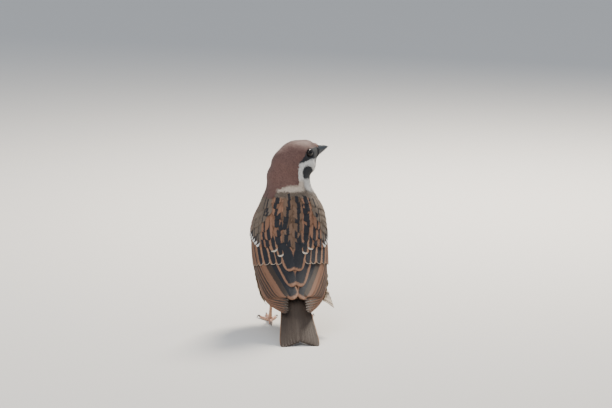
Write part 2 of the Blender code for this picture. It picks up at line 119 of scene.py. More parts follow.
# Plumage colours, as linear red, green and blue.
CHESTNUT = np.array([0.150, 0.081, 0.068])
BLACK = np.array([0.021, 0.022, 0.026])
SOFT_BLACK = np.array([0.035, 0.030, 0.028])
LID_BLACK = np.array([0.026, 0.025, 0.026])
WHITE = np.array([0.640, 0.620, 0.590])
BUFF_WHITE = np.array([0.560, 0.490, 0.400])
COLLAR = np.array([0.540, 0.450, 0.365])
BREAST = np.array([0.400, 0.345, 0.285])
BELLY = np.array([0.560, 0.500, 0.420])
FLANK = np.array([0.330, 0.235, 0.155])
RUMP = np.array([0.200, 0.135, 0.085])
GREY_BROWN = np.array([0.135, 0.104, 0.080])
BACK_BROWN = np.array([0.132, 0.082, 0.055])
MIDDLE_BROWN = np.array([0.128, 0.078, 0.051])
RUFOUS = np.array([0.212, 0.111, 0.069])
RUFOUS_BUFF = np.array([0.290, 0.160, 0.096])
WING_BROWN = np.array([0.060, 0.045, 0.036])


# ---------------------------------------------------------------- places


def lean(z):
    heights, amounts = zip(*SWAY)
    return np.interp(z, heights, amounts)


def middle_of(node):
    low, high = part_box(node)
    return np.array([(a + b) / 2 / MM for a, b in zip(low, high)])


def head_frame():
    """The head's axes: x ahead along the bill, y to the bird's left, z up."""
    turn = Matrix.Rotation(math.radians(-90 - HEAD_TURN_DEG), 4, "Z")
    tilt = Matrix.Rotation(math.radians(-HEAD_TILT_DEG), 4, "Y")
    return Matrix.Translation(HEAD_MIDDLE) @ turn @ tilt


HEAD = head_frame()
HEAD_AXES = np.array(HEAD.to_3x3())


def from_head(points):
    return np.asarray(points, float) @ HEAD_AXES.T + np.array(HEAD_MIDDLE)


def in_head(points):
    return (np.asarray(points, float) - np.array(HEAD_MIDDLE)) @ HEAD_AXES


def eye_middle(side):
    return from_head((EYE_AHEAD, side * EYE_OUT, EYE_UP))


FEET_MIDDLE = (middle_of("foot_left") + middle_of("foot_right")) / 2
SHIFT = np.array([FEET_MIDDLE[0], *(middle_of("eye_left") - eye_middle(1))[1:]])


def placed(points):
    """Points of the bird's own frame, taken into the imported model's frame in metres."""
    points = np.array(points, float).reshape(-1, 3)
    points[:, 0] -= lean(points[:, 2])
    return (points + SHIFT) * MM


def unplaced(points):
    points = np.array(points, float).reshape(-1, 3) / MM - SHIFT
    points[:, 0] += lean(points[:, 2])
    return points


def between(table, at):
    """The table's rows read at fractional places, on a smooth curve through all of them."""
    rows = np.asarray(table, float)
    at = np.clip(np.asarray(at, float), 0, len(rows) - 1)
    low = np.minimum(at.astype(int), len(rows) - 2)
    t = (at - low)[..., None]
    padded = np.vstack([2 * rows[0] - rows[1], rows, 2 * rows[-1] - rows[-2]])
    before, here, there, after = (padded[low + k] for k in range(4))
    bend = 2 * before - 5 * here + 4 * there - after + t * (3 * (here - there) + after - before)
    return here + 0.5 * t * (there - before + t * bend)


SHELL_ROWS = [[*back, *middle, half] for back, middle, half in SHELL.values()]


def shell_point(section, degrees):
    """Points on the outer surface: section counts from the wing tips, degrees from the back's middle line."""
    section, degrees = np.broadcast_arrays(np.asarray(section, float), np.asarray(degrees, float))
    row = between(SHELL_ROWS, section)
    c, r = np.cos(np.radians(degrees)), np.sin(np.radians(degrees))
    y = row[..., 2] + c * (row[..., 0] - row[..., 2])
    z = row[..., 3] + c * (row[..., 1] - row[..., 3])
    return stacked(row[..., 4] * r, y, z)


def unit(vectors):
    return vectors / np.maximum(np.linalg.norm(vectors, axis=-1, keepdims=True), 1e-9)


def smooth(low, high, values):
    t = np.clip((np.asarray(values, float) - low) / (high - low), 0, 1)
    return t * t * (3 - 2 * t)


def mixed(colour, other, share):
    return colour + (other - colour) * share


def stacked(*parts):
    """Arrays of numbers, one for each axis, as one array of points."""
    return np.stack(np.broadcast_arrays(*parts), axis=-1)


def turns(around):
    """This many angles, evenly round a circle."""
    return np.linspace(0, 2 * math.pi, around, endpoint=False)


def grid_faces(rows, columns, start=0):
    i, j = np.meshgrid(np.arange(rows - 1), np.arange(columns - 1), indexing="ij")
    a = start + (i * columns + j).ravel()
    return np.stack([a, a + 1, a + columns + 1, a + columns], axis=1)


def nearest_on(tree, points):
    """(nearest points, normals, faces) of a search tree for each point."""
    found = [tree.find_nearest(Vector(p)) for p in points]
    return tuple(np.array([f[k] for f in found]) for k in range(3))


class Shell:
    """The outer surface as a fine grid, for finding the nearest place on it."""

    STEP, TURN, WIDEST = 0.06, 2.5, 130  # the grid's steps in sections and degrees, and how far round it runs
    # Outer heights, and the height and place along Y inside the body that go with them.
    CORE_HEIGHTS = ((14, 30, 60, 95), (14, 22, 50, 85))
    CORE_BACK = ((14, 30, 60, 95), (45, 18, -4, -11))

    def __init__(self):
        self.sections = np.arange(0, len(SHELL) - 1 + 1e-6, self.STEP)
        self.degrees = np.arange(-self.WIDEST, self.WIDEST + 1e-6, self.TURN)
        points = shell_point(self.sections[:, None], self.degrees[None, :])
        faces = grid_faces(len(self.sections), len(self.degrees))[:, ::-1]
        self.tree = BVHTree.FromPolygons(points.reshape(-1, 3).tolist(), faces.tolist())

    def nearest(self, points):
        """(nearest points, normals, section, degrees) for each point."""
        place, normal, index = nearest_on(self.tree, points)
        columns = len(self.degrees) - 1
        outward = np.sign((normal * (place - self.core(place))).sum(1, keepdims=True))
        return place, normal * outward, self.sections[index // columns], self.degrees[index % columns]

    def core(self, points):
        """A point inside the body for each point, to tell outwards from inwards."""
        height = np.interp(points[:, 2], *self.CORE_HEIGHTS)
        back = np.interp(points[:, 2], *self.CORE_BACK)
        return stacked(0.0, back, height)


SHELL_SURFACE = Shell()


# ---------------------------------------------------------------- meshes and materials


def in_scene(name, data):
    """A new object of the scene that shows this data."""
    made = bpy.data.objects.new(name, data)
    bpy.context.scene.collection.objects.link(made)
    return made


def new_piece(name, points, faces, material, replaces=()):
    """A finished piece: its points are in the bird's own frame, and its object sits at the origin."""
    mesh = bpy.data.meshes.new(name)
    mesh.from_pydata(placed(points).tolist(), [], [list(map(int, f)) for f in faces])
    mesh.materials.append(material)
    mesh.shade_smooth()
    mesh.update()
    piece = in_scene(name, mesh)
    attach(piece, "root")
    if replaces:
        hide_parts(*replaces)
    return piece


def keep(mesh, name, kind, values):
    """Stores values as an attribute of the mesh's points."""
    attribute = mesh.attributes.get(name) or mesh.attributes.new(name, kind, "POINT")
    values = np.asarray(values, np.float32)
    if kind == "FLOAT_COLOR":
        values = np.concatenate([values, np.ones((len(values), 1), np.float32)], axis=1)
        attribute.data.foreach_set("color", values.ravel())
    else:
        attribute.data.foreach_set("vector" if kind == "FLOAT_VECTOR" else "value", values.ravel())


def keep_map(mesh, uv):
    """Stores one map place for each point as the piece's bake map."""
    layer = mesh.uv_layers.get("OFBake") or mesh.uv_layers.new(name="OFBake")
    corners = np.empty(len(mesh.loops), np.int32)
    mesh.loops.foreach_get("vertex_index", corners)
    layer.data.foreach_set("uv", np.asarray(uv, np.float32)[corners].ravel())


def read(items, key, width=1):
    """One value of every item, as an array with a row for each."""
    found = np.empty(len(items) * width, np.float32)
    items.foreach_get(key, found)
    return found.reshape(-1, width) if width > 1 else found


def points_of(mesh):
    return read(mesh.vertices, "co", 3).astype(float)


def normals_of(mesh):
    return read(mesh.vertex_normals, "vector", 3).astype(float)


def values_of(mesh, name):
    return read(mesh.attributes[name].data, "value")


class Nodes:
    """A short way to write a node tree: each call adds a node, sets its inputs and returns it."""

    def __init__(self, tree):
        self.tree = tree

    def add(self, kind, inputs=None, **settings):
        node = self.tree.nodes.new(kind)
        for name, value in settings.items():
            setattr(node, name, value)
        for name, value in (inputs or {}).items():
            socket = self.socket(node.inputs, name)
            if isinstance(value, bpy.types.NodeSocket):
                self.link(value, socket)
            else:
                socket.default_value = value
        return node

    def socket(self, sockets, name):
        if isinstance(name, int):
            return sockets[name]
        return next(s for s in sockets if s.name == name and s.enabled)

    def out(self, node, name=0):
        return self.socket(node.outputs, name)

    def link(self, value, socket):
        self.tree.links.new(value, socket)

    def place(self):
        """Places on the object itself."""
        return self.out(self.add("ShaderNodeTexCoord"), "Object")

    def stored(self, name, kind="Vector"):
        """An attribute of the mesh."""
        return self.out(self.add("ShaderNodeAttribute", attribute_name=name), kind)

    def parts(self, name):
        """The three numbers of a stored vector."""
        split = self.add("ShaderNodeSeparateXYZ", {0: self.stored(name)})
        return [split.outputs[k] for k in range(3)]

    def joined(self, x, y, z=0.0):
        return self.out(self.add("ShaderNodeCombineXYZ", {0: x, 1: y, 2: z}))

    def math(self, operation, a, b=0.0, c=None):
        inputs = {0: a, 1: b}
        if c is not None:
            inputs[2] = c
        return self.out(self.add("ShaderNodeMath", inputs, operation=operation))

    def mix(self, share, a, b, blend="MIX"):
        node = self.tree.nodes.new("ShaderNodeMix")
        node.data_type, node.blend_type = "RGBA", blend
        for index, value in ((0, share), (6, a), (7, b)):
            if isinstance(value, bpy.types.NodeSocket):
                self.link(value, node.inputs[index])
            elif index:
                node.inputs[index].default_value = (*value, 1) if len(value) == 3 else value
            else:
                node.inputs[index].default_value = value
        return node.outputs[2]

    def ramp(self, value, low, high):
        """0 below low, 1 above high, and smooth between."""
        inputs = {"Value": value, "From Min": low, "From Max": high}
        return self.out(self.add("ShaderNodeMapRange", inputs, interpolation_type="SMOOTHSTEP"), "Result")

    def noise(self, vector, scale, detail=2.0):
        inputs = {"Vector": vector, "Scale": scale, "Detail": detail}
        return self.out(self.add("ShaderNodeTexNoise", inputs), "Fac")


class Finish(Nodes):
    """A new material, with its nodes. roughness and specular are constants on its shader."""

    def __init__(self, name, roughness, specular):
        self.made = bpy.data.materials.new(name)
        self.made.use_nodes = True
        super().__init__(self.made.node_tree)
        self.shader = self.tree.nodes["Principled BSDF"]
        self.set("Roughness", roughness)
        self.set("Specular IOR Level", specular)

    def set(self, socket, value):
        """Gives one of the shader's inputs a constant or another node's output."""
        if isinstance(value, bpy.types.NodeSocket):
            self.link(value, self.shader.inputs[socket])
        else:
            self.shader.inputs[socket].default_value = value

    def bump(self, height, strength, distance):
        """Relief: distance is how deep it is, in metres."""
        node = self.add("ShaderNodeBump", {"Strength": strength, "Distance": distance, "Height": height})
        self.set("Normal", self.out(node))


# ---------------------------------------------------------------- markings

# The narrow black bib, from the chin down the throat, in the bird's own frame.
BIB = np.array(
    [*from_head([(12.5, 0, -3.5), (9.5, 0, -8.0), (5.5, 0, -13.0)]), (-7.5, -23.0, 80.0), (-4.0, -26.0, 74.5)]
)
BIB_HALF = (2.6, 2.9, 2.4, 2.6, 4.4)
# The trunk's middle line, as heights and the places along Y that go with them.
TRUNK_MIDDLE = ((14.5, 19, 26.5, 35.5, 46, 57, 68, 78, 86), (53, 38, 23, 9.5, 0, -6, -9, -10, -10.5))
# Where the chestnut of crown and nape ends on the side of the head: (ahead, up) in the head's frame.
CAP_EDGE = (
    (-11.5, -9.6, -8.4, -7.2, -5.4, -2.6, -0.6, 1.4, 3.9, 9.0, 13.0),
    (-30, -14, -9, -5, -2.2, -0.3, 1.4, 3.1, 4.2, 3.5, 3.0),
)
# The black between bill and eye and round the eye: how far ahead, and its lower and upper edges there.
MASK_AHEAD = (-5.4, -2.6, -0.6, 1.4, 3.9, 8.0, 14.0)
MASK_LOW = (-2.2, -2.2, -1.9, -1.7, -1.9, -2.6, -3.2)
MASK_HIGH = (-1.8, 0.0, 1.7, 3.4, 4.5, 3.8, 3.2)
# The middle and the half sizes of the black ear patch.
EAR_PATCH = ((-1.2, -9.3), (4.2, 4.9))
# How softly the head's colours meet, in millimetres.
SOFT_EDGE = 0.35
# Heights between which a colour comes in: the head's own marks, the white neck and the collar.
HEAD_MARKS, NECK_WHITE, COLLAR_RISE = (82, 84), (73.5, 77.5), (76.2, 77.4)


def along_line(points, line):
    """(distance from the bent line, how far along it from 0 to 1) for each point."""
    best = np.full(len(points), np.inf)
    place = np.zeros(len(points))
    for i, (a, b) in enumerate(zip(line[:-1], line[1:])):
        t = np.clip(((points - a) @ (b - a)) / ((b - a) @ (b - a)), 0, 1)
        distance = np.linalg.norm(points - (a + t[:, None] * (b - a)), axis=1)
        nearer = distance < best
        best[nearer], place[nearer] = distance[nearer], ((i + t) / (len(line) - 1))[nearer]
    return best, place


def blend(colours, other, shares):
    """mixed() for many points, each with its own share."""
    return mixed(colours, other, shares[:, None])


def plumage(points):
    """The colour of skin and small feathers at these places."""
    x, y, z = points.T
    head = in_head(points)
    ahead, side, up = head[:, 0], np.abs(head[:, 1]), head[:, 2]
    around = np.degrees(np.arctan2(np.abs(x), y - np.interp(z, *TRUNK_MIDDLE)))

    # The trunk: brown above, buff on the flanks and pale below.
    colour = np.tile(GREY_BROWN, (len(points), 1))
    colour = blend(colour, RUMP, 1 - smooth(36, 46, z))
    colour = blend(colour, FLANK, smooth(78, 104, around))
    front = blend(np.tile(BELLY, (len(points), 1)), BREAST, smooth(52, 66, z))
    colour = blend(colour, front, smooth(118, 152, around))
    colour = blend(colour, BELLY, (1 - smooth(24, 30, z)) * smooth(100, 135, around))

    # The neck: white at the sides, further round on the side that the head turns to, and the collar behind.
    turned = around + 16 * np.sign(-x) * smooth(70, 80, z)
    colour = blend(colour, WHITE, smooth(*NECK_WHITE, z + 0.04 * (turned - 90)) * smooth(46, 66, turned))
    collar = smooth(*COLLAR_RISE, z) * (1 - smooth(7.5, 10.5, x)) * (1 - smooth(6.5, 9.0, -x))
    colour = blend(colour, COLLAR, collar)

    # The head: white cheeks with a black patch, black bib, chestnut cap and black mask.
    on_head = smooth(*HEAD_MARKS, z)
    colour = blend(colour, WHITE, on_head)
    middle, half_sizes = EAR_PATCH
    ear = np.hypot((ahead - middle[0]) / half_sizes[0], (up - middle[1]) / half_sizes[1])
    colour = blend(colour, BLACK, (1 - smooth(0.87, 1.13, ear)) * on_head * smooth(3.5, 5.0, side))
    bib_away, bib_place = along_line(points, BIB)
    bib_half = np.interp(bib_place, np.linspace(0, 1, len(BIB_HALF)), BIB_HALF)
    colour = blend(colour, BLACK, 1 - smooth(-SOFT_EDGE, 0.45, bib_away - bib_half))
    cap_foot = 80.0 - 2.4 * smooth(1.0, 8.5, x) - 5.1 * smooth(8.0, 10.5, x)  # lower on the bird's left
    cap = smooth(-0.5, 0.5, up - np.interp(ahead, *CAP_EDGE)) * smooth(-0.7, 0.7, z - cap_foot)
    colour = blend(colour, CHESTNUT, cap)
    mask = smooth(-SOFT_EDGE, SOFT_EDGE, up - np.interp(ahead, MASK_AHEAD, MASK_LOW))
    mask *= smooth(-SOFT_EDGE, SOFT_EDGE, np.interp(ahead, MASK_AHEAD, MASK_HIGH) - up)
    return blend(colour, BLACK, mask * smooth(-5.6, -5.0, ahead) * on_head)


# ---------------------------------------------------------------- the lie of the coat

# The line that the feathers follow, from the bill to the tail's root.
AXIS = np.array(
    [*from_head([(16, 0, -0.5), (6, 0, -0.5), (-2, 0, -3), (-5, 0, -12)]),
     (-1.0, -10.0, 77.0), (0, -7.0, 62.0), (0, 1.0, 46.0), (0, 12.0, 33.0), (0, 28.0, 24.0), (0, 50.0, 11.0)]
)
LIE_REACH = 8.0  # how softly one stretch of the line hands over to the next, in millimetres
# The coat's depth over trunk, thighs and face, and how much it loses up the neck.
TRUNK_DEPTH, THIGH_DEPTH, FACE_DEPTH, NECK_LOSS = 1.25, 0.75, 0.30, 0.78


def leg_share(points):
    """1 on the feathered thighs, 0 on the trunk."""
    mirrored = np.abs(points) * (1, 0, 0) + points * (0, 1, 1)
    away, _ = along_line(mirrored, np.array([THIGH_TOP, HEEL]))
    return (1 - smooth(3.8, 6.2, away)) * (1 - smooth(23, 27, points[:, 2]))


def lie_of(points, normals):
    """The way that the feathers point: along the body from bill to tail, and down the thighs."""
    middles = (AXIS[1:] + AXIS[:-1]) / 2
    runs = unit(AXIS[1:] - AXIS[:-1])
    away = np.linalg.norm(points[:, None] - middles[None], axis=2)
    away -= away.min(axis=1, keepdims=True)
    weights = np.exp(-2.5 * away / LIE_REACH)
    way = (weights[:, :, None] * runs[None]).sum(1)
    legs = leg_share(points)[:, None]
    down = unit(HEEL - THIGH_TOP)
    way = unit(unit(way) * (1 - legs) + down * legs)
    flat = way - normals * (way * normals).sum(1, keepdims=True)
    return unit(flat + 1e-4)


def coat_depth(points):
    """How deep the skin lies under the plumage."""
    z = points[:, 2]
    depth = mixed(TRUNK_DEPTH - NECK_LOSS * smooth(74, 88, z), THIGH_DEPTH, leg_share(points))
    return mixed(depth, FACE_DEPTH, smooth(2, 10, in_head(points)[:, 0]) * smooth(82, 88, z))


def eye_reach(points, side):
    """(distance from the eye's axis, how far out along it) for each point."""
    head = in_head(points)
    across = np.hypot(head[:, 0] - EYE_AHEAD, head[:, 2] - EYE_UP)
    return across, head[:, 1] * side - EYE_OUT


# ---------------------------------------------------------------- skin

SKIN_SINK = 0.15  # how much deeper the skin lies than the coat is thick
LID_OPENING_DEG, LID_RADIUS = 51, 0.19


def evaluated(obj, name):
    """The object's mesh with its modifiers worked in."""
    graph = bpy.context.evaluated_depsgraph_get()
    mesh = bpy.data.meshes.new_from_object(obj.evaluated_get(graph), depsgraph=graph)
    mesh.name = name
    return mesh


def ball(shape, place, half):
    """Adds a sphere stretched to these half sizes to a bmesh."""
    matrix = place @ Matrix.Diagonal((*half, 1))
    bmesh.ops.create_uvsphere(shape, u_segments=24, v_segments=12, radius=1, matrix=matrix)


def fused_flesh():
    """The flesh nodes grown together over the cuts between them, with the bill's and eyes' sockets filled."""
    shape = bmesh.new()
    for node in FLESH:
        piece = bmesh.new()
        piece.from_mesh(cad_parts[node].data)
        bmesh.ops.remove_doubles(piece, verts=piece.verts, dist=1e-6)
        piece.normal_update()
        for vertex in piece.verts:
            vertex.co += vertex.normal * FLESH_GROWTH * MM
        part = bpy.data.meshes.new(node)
        piece.to_mesh(part)
        piece.free()
        shape.from_mesh(part)
        bpy.data.meshes.remove(part)
    for vertex, place in zip(shape.verts, unplaced([v.co for v in shape.verts])):
        vertex.co = place
    ball(shape, HEAD @ Matrix.Translation((FACE_AHEAD, 0, -FACE_DROP)), [h * 0.94 for h in FACE_HALF])
    for side in (1, -1):
        ball(shape, Matrix.Translation(eye_middle(side)), (EYE_RADIUS * 0.96,) * 3)
    mesh = bpy.data.meshes.new("flesh")
    shape.to_mesh(mesh)
    shape.free()
    body = in_scene("flesh", mesh)
    grow_together = body.modifiers.new("grow together", "REMESH")
    grow_together.mode, grow_together.voxel_size = "VOXEL", SKIN_VOXEL
    soften = body.modifiers.new("soften", "SMOOTH")
    soften.iterations = 6
    fused = evaluated(body, "fused")
    bpy.data.objects.remove(body)
    return only_largest(fused)


def only_largest(mesh):
    """The mesh without the pockets that were closed off inside it."""
    shape = bmesh.new()
    shape.from_mesh(mesh)
    left, largest = set(shape.verts), set()
    while left:
        group, edge = set(), [left.pop()]
        while edge:
            vertex = edge.pop()
            group.add(vertex)
            for link in vertex.link_edges:
                other = link.other_vert(vertex)
                if other in left:
                    left.discard(other)
                    edge.append(other)
        if len(group) > len(largest):
            largest = group
    bmesh.ops.delete(shape, geom=[v for v in shape.verts if v not in largest], context="VERTS")
    shape.to_mesh(mesh)
    shape.free()
    return mesh


def eyelid(side):
    """(points, faces) of a soft ring that follows the eyeball, a little longer than it is high."""
    around, across = 28, 8
    rings = []
    for a in turns(around):
        long = abs(math.cos(a))
        polar = math.radians(LID_OPENING_DEG + 4 * long)
        outward = np.array([math.cos(a), 0.0, math.sin(a)])
        middle = EYE_RADIUS * 1.02 * (math.sin(polar) * outward + math.cos(polar) * np.array([0, 1.0, 0]))
        thick = LID_RADIUS - 0.05 * long
        for b in turns(across):
            rings.append(middle + thick * (math.cos(b) * outward + math.sin(b) * np.array([0, 1.0, 0])))
    local = np.array(rings) * (1, side, 1) + (EYE_AHEAD, side * EYE_OUT, EYE_UP)
    faces = []
    for k in range(around):
        for j in range(across):
            a, b = k * across, ((k + 1) % around) * across
            n = (j + 1) % across
            face = (a + j, b + j, b + n, a + n)
            faces.append(face if side > 0 else face[::-1])
    return from_head(local), faces


def skin_material():
    nodes = Finish("plumage skin", 0.85, 0.2)
    mottle = nodes.ramp(nodes.noise(nodes.place(), 900.0, 3.0), 0.3, 0.75)
    shade = nodes.mix(mottle, (0.55,) * 3, (0.95,) * 3)
    nodes.set("Base Color", nodes.mix(1.0, nodes.stored("tint", "Color"), shade, "MULTIPLY"))
    nodes.bump(mottle, 0.35, 0.0002)
    return nodes.made


def make_skin():
    """(skin, working mesh): flesh, sunk by the coat's depth, with hollows for the eyes. The skin has lids."""
    mesh = fused_flesh()
    points, normals = points_of(mesh), normals_of(mesh)
    points -= normals * (coat_depth(points) + SKIN_SINK)[:, None]
    for side in (1, -1):
        away, out = eye_reach(points, side)
        wanted = 0.75 + 1.5 * smooth(1.9, 3.9, away)
        sink = np.clip(out - wanted, 0, None) * (away < 3.9) * (out > -1.5)
        points -= sink[:, None] * side * HEAD_AXES[:, 1]
    mesh.vertices.foreach_set("co", points.astype(np.float32).ravel())
    mesh.update()
    faces = [tuple(p.vertices) for p in mesh.polygons]
    lids = []
    for side in (1, -1):
        lid_points, lid_faces = eyelid(side)
        start = len(points) + sum(len(part) for part, _ in lids)
        lids.append((lid_points, [tuple(start + i for i in face) for face in lid_faces]))
    every_point = np.concatenate([points, *[part for part, _ in lids]])
    every_face = faces + [face for _, part in lids for face in part]
    skin = new_piece("skin", every_point, every_face, skin_material(), FLESH)
    tint = plumage(every_point)
    tint[len(points) :] = LID_BLACK
    keep(skin.data, "tint", "FLOAT_COLOR", tint)
    unwrap(skin)
    return skin, mesh


def unwrap(piece):
    """Unwraps the piece by its own shape into its bake map."""
    piece.data.uv_layers.new(name="OFBake")
    for other in bpy.context.selected_objects:
        other.select_set(False)
    bpy.context.view_layer.objects.active = piece
    piece.select_set(True)
    bpy.ops.object.mode_set(mode="EDIT")
    bpy.ops.mesh.select_all(action="SELECT")
    bpy.ops.uv.smart_project(angle_limit=math.radians(66), island_margin=0.004)
    bpy.ops.object.mode_set(mode="OBJECT")
    piece.select_set(False)


class SkinSurface:
    """Finds the nearest place on the skin, with its normal and its place on the skin's own unwrap."""

    def __init__(self, skin, working):
        self.points = points_of(working)
        self.corners = [tuple(p.vertices) for p in working.polygons]
        self.tree = BVHTree.FromPolygons(self.points.tolist(), self.corners)
        self.uv = read(skin.data.uv_layers["OFBake"].data, "uv", 2)
        self.first = [p.loop_start for p in skin.data.polygons][: len(self.corners)]

    def nearest(self, points):
        """(nearest points, normals, faces) for each point."""
        return nearest_on(self.tree, points)

    def map_places(self, points, faces):
        """The unwrap's place for each point, weighted between the corners of its face."""
        places = np.empty((len(points), 2))
        for i, (point, face) in enumerate(zip(points, faces)):
            corners = self.corners[face]
            near = 1 / (np.linalg.norm(self.points[list(corners)] - point, axis=1) ** 2 + 1e-4)
            uv = self.uv[self.first[face] : self.first[face] + len(corners)]
            places[i] = (uv * near[:, None]).sum(0) / near.sum()
        return places


# ---------------------------------------------------------------- small feathers

# Each coat: how far apart its tufts stand in millimetres, a tuft's number of barbs, and how wide it is for
# its length.
COATS = {
    "face": (0.38, 3, 0.50),
    "crown": (0.48, 4, 0.46),
    "neck": (0.62, 5, 0.44),
    "breast": (0.88, 7, 0.42),
    "belly": (0.92, 7, 0.42),
    "thighs": (0.70, 5, 0.46),
}
TUFTS_AT_MOST = 60.0  # tufts per square millimetre before the spacing thins them out
STRAY, UNEVENNESS = 0.16, 0.16  # how much tufts differ in direction and in length
TUFT_LIFT = 0.08  # how high a tuft's root lies over the skin, in millimetres
FIRST_SEED = 11


def feather_length(points):
    """The length of the small feathers at each place."""
    head = in_head(points)
    z = points[:, 2]
    length = 5.6 - 2.6 * smooth(66, 80, z)
    length -= 0.8 * smooth(80, 90, z)
    length += (1.15 - length) * smooth(1.5, 10.5, head[:, 0]) * smooth(80, 86, z)
    length += (2.6 - length) * leg_share(points)
    for side in (1, -1):
        away, out = eye_reach(points, side)
        length += (0.85 - length) * (1 - smooth(2.2, 3.8, away)) * (out > -2)
    return length


def coat_shares(points):
    """How much of each coat grows at each place, as {coat: share from 0 to 1}."""
    head = in_head(points)
    z = points[:, 2]
    legs = leg_share(points) > 0.5
    face = (head[:, 0] > 4.0) & (z > 84)
    crown = ~face & (z > 84)
    neck = ~face & ~crown & (z > 74)
    rest = ~face & ~crown & ~neck & ~legs
    breast = rest & (z > 47)
    return dict(face=face, crown=crown, neck=neck, breast=breast, belly=rest & ~breast, thighs=legs)


# How far round the wing's feathers cover the body, in degrees, at each section.
WING_COVER = ((0.0, 0.9, 1.6, 2.6, 4.0, 5.0, 5.6, 6.1, 6.45), (0, 66, 92, 99, 98, 90, 76, 56, 40))


def bare_places(points):
    """True where no small feather grows: under the large feathers, round the eyes and inside the bill."""
    head = in_head(points)
    place, _, section, degrees = SHELL_SURFACE.nearest(points)
    deep = np.linalg.norm(place - points, axis=1) > 4.5
    bare = (np.abs(degrees) < np.interp(section, *WING_COVER)) & (section < WING_COVER[0][-1]) & ~deep
    for side in (1, -1):
        away, out = eye_reach(points, side)
        bare |= (away < 2.35) & (out > -1)
    taper = 0.86 * np.clip(1 - (head[:, 0] - BILL_FACE) / 18, 0, 1)
    height = BILL_DEPTH * np.where(head[:, 2] > 0, UPPER_BILL, LOWER_BILL) * taper
    in_bill = np.hypot(head[:, 1] / (BILL_WIDTH / 2 * taper), head[:, 2] / height) < 1
    return bare | (in_bill & (head[:, 0] > 9))


def tuft(barbs, widest):
    """One small feather, 1 long along +Y: narrow barbs with a common root that part towards the round tip."""
    points, faces, lane = [], [], []
    for k in range(barbs):
        u = (k + 0.5) / barbs * 2 - 1
        half = widest / barbs * 0.62
        end = 1.0 - 0.26 * u * u - 0.05 * (k % 2)
        rise = 0.012 * (k % 2)
        first = len(points)
        for y, spread, thick in ((0.0, 0.30, 0.55), (0.42, 0.92, 1.0), (0.74, 1.0, 0.85)):
            middle = u * widest / 2 * spread
            points += [(middle - half * thick, y * end, rise), (middle + half * thick, y * end, rise)]
        points.append((u * widest / 2 * 0.93, end, rise))
        faces += [(first, first + 1, first + 3, first + 2), (first + 2, first + 3, first + 5, first + 4)]
        faces.append((first + 4, first + 5, first + 6))
        lane += [u] * 7
    mesh = bpy.data.meshes.new("tuft")
    mesh.from_pydata(points, [], faces)
    keep(mesh, "lane", "FLOAT", lane)
    keep(mesh, "along", "FLOAT", [p[1] for p in points])
    return in_scene("tuft", mesh)


def coat_tree(finish):
    """Geometry nodes that scatter tufts over a surface. Its "lie" says which way they lie, and its "length"
    how long they are."""
    tree = bpy.data.node_groups.new("coat of tufts", "GeometryNodeTree")
    sockets = dict(Surface="Geometry", Tuft="Object", Spacing="Float", Unevenness="Float", Seed="Int")
    for name, kind in sockets.items():
        tree.interface.new_socket(name, in_out="INPUT", socket_type="NodeSocket" + kind)
    tree.interface.new_socket("Coat", in_out="OUTPUT", socket_type="NodeSocketGeometry")
    nodes = Nodes(tree)
    given = nodes.add("NodeGroupInput")
    surface, shape, spacing, uneven, seed = given.outputs[: len(sockets)]

    def stored(name, kind="FLOAT"):
        node = nodes.add("GeometryNodeInputNamedAttribute", {"Name": name}, data_type=kind)
        return nodes.out(node, "Attribute")

    def drawn(low, high, seed=seed, kind="FLOAT"):
        inputs = {"Min": low, "Max": high, "Seed": seed}
        return nodes.out(nodes.add("FunctionNodeRandomValue", inputs, data_type=kind), "Value")

    scatter = nodes.add(
        "GeometryNodeDistributePointsOnFaces",
        {"Mesh": surface, "Distance Min": spacing, "Density Max": TUFTS_AT_MOST, "Seed": seed,
         "Density Factor": stored("share")},
        distribute_method="POISSON",
    )
    points = nodes.out(scatter, "Points")
    place = nodes.out(nodes.add("GeometryNodeInputPosition"))
    for name, kind, value in (("root", "FLOAT_VECTOR", place), ("drawn", "FLOAT", drawn(0.0, 1.0))):
        inputs = {"Geometry": points, "Name": name, "Value": value}
        points = nodes.out(nodes.add("GeometryNodeStoreNamedAttribute", inputs, data_type=kind), "Geometry")
    stray = drawn((-STRAY,) * 3, (STRAY,) * 3, kind="FLOAT_VECTOR")
    lie = nodes.add("ShaderNodeVectorMath", {0: stored("lie", "FLOAT_VECTOR"), 1: stray}, operation="ADD")
    align = "FunctionNodeAlignRotationToVector"
    upright = nodes.add(align, {"Vector": nodes.out(scatter, "Normal")}, axis="Z")
    inputs = {"Rotation": nodes.out(upright), "Vector": nodes.out(lie)}
    turned = nodes.add(align, inputs, axis="Y", pivot_axis="Z")
    low, high = (nodes.math(way, 1.0, uneven) for way in ("SUBTRACT", "ADD"))
    vary = drawn(low, high, nodes.math("ADD", seed, 5.0))
    one_tuft = nodes.add("GeometryNodeObjectInfo", {"Object": shape})
    inputs = {"Points": points, "Instance": nodes.out(one_tuft, "Geometry"), "Rotation": nodes.out(turned),
              "Scale": nodes.math("MULTIPLY", stored("length"), vary)}
    grown = nodes.add("GeometryNodeInstanceOnPoints", inputs)
    real = nodes.add("GeometryNodeRealizeInstances", {"Geometry": nodes.out(grown)})
    finished = nodes.add("GeometryNodeSetMaterial", {"Geometry": nodes.out(real), "Material": finish})
    nodes.link(nodes.out(finished), nodes.add("NodeGroupOutput").inputs[0])
    return tree


def coat_material():
    nodes = Finish("small feathers", 0.72, 0.22)
    nodes.set("Sheen Weight", 0.10)
    nodes.set("Sheen Roughness", 0.5)
    grain = nodes.ramp(nodes.noise(nodes.place(), 1500.0), 0.25, 0.75)
    shade = nodes.mix(grain, (0.84,) * 3, (1.1,) * 3)
    nodes.set("Base Color", nodes.mix(1.0, nodes.stored("tint", "Color"), shade, "MULTIPLY"))
    return nodes.made


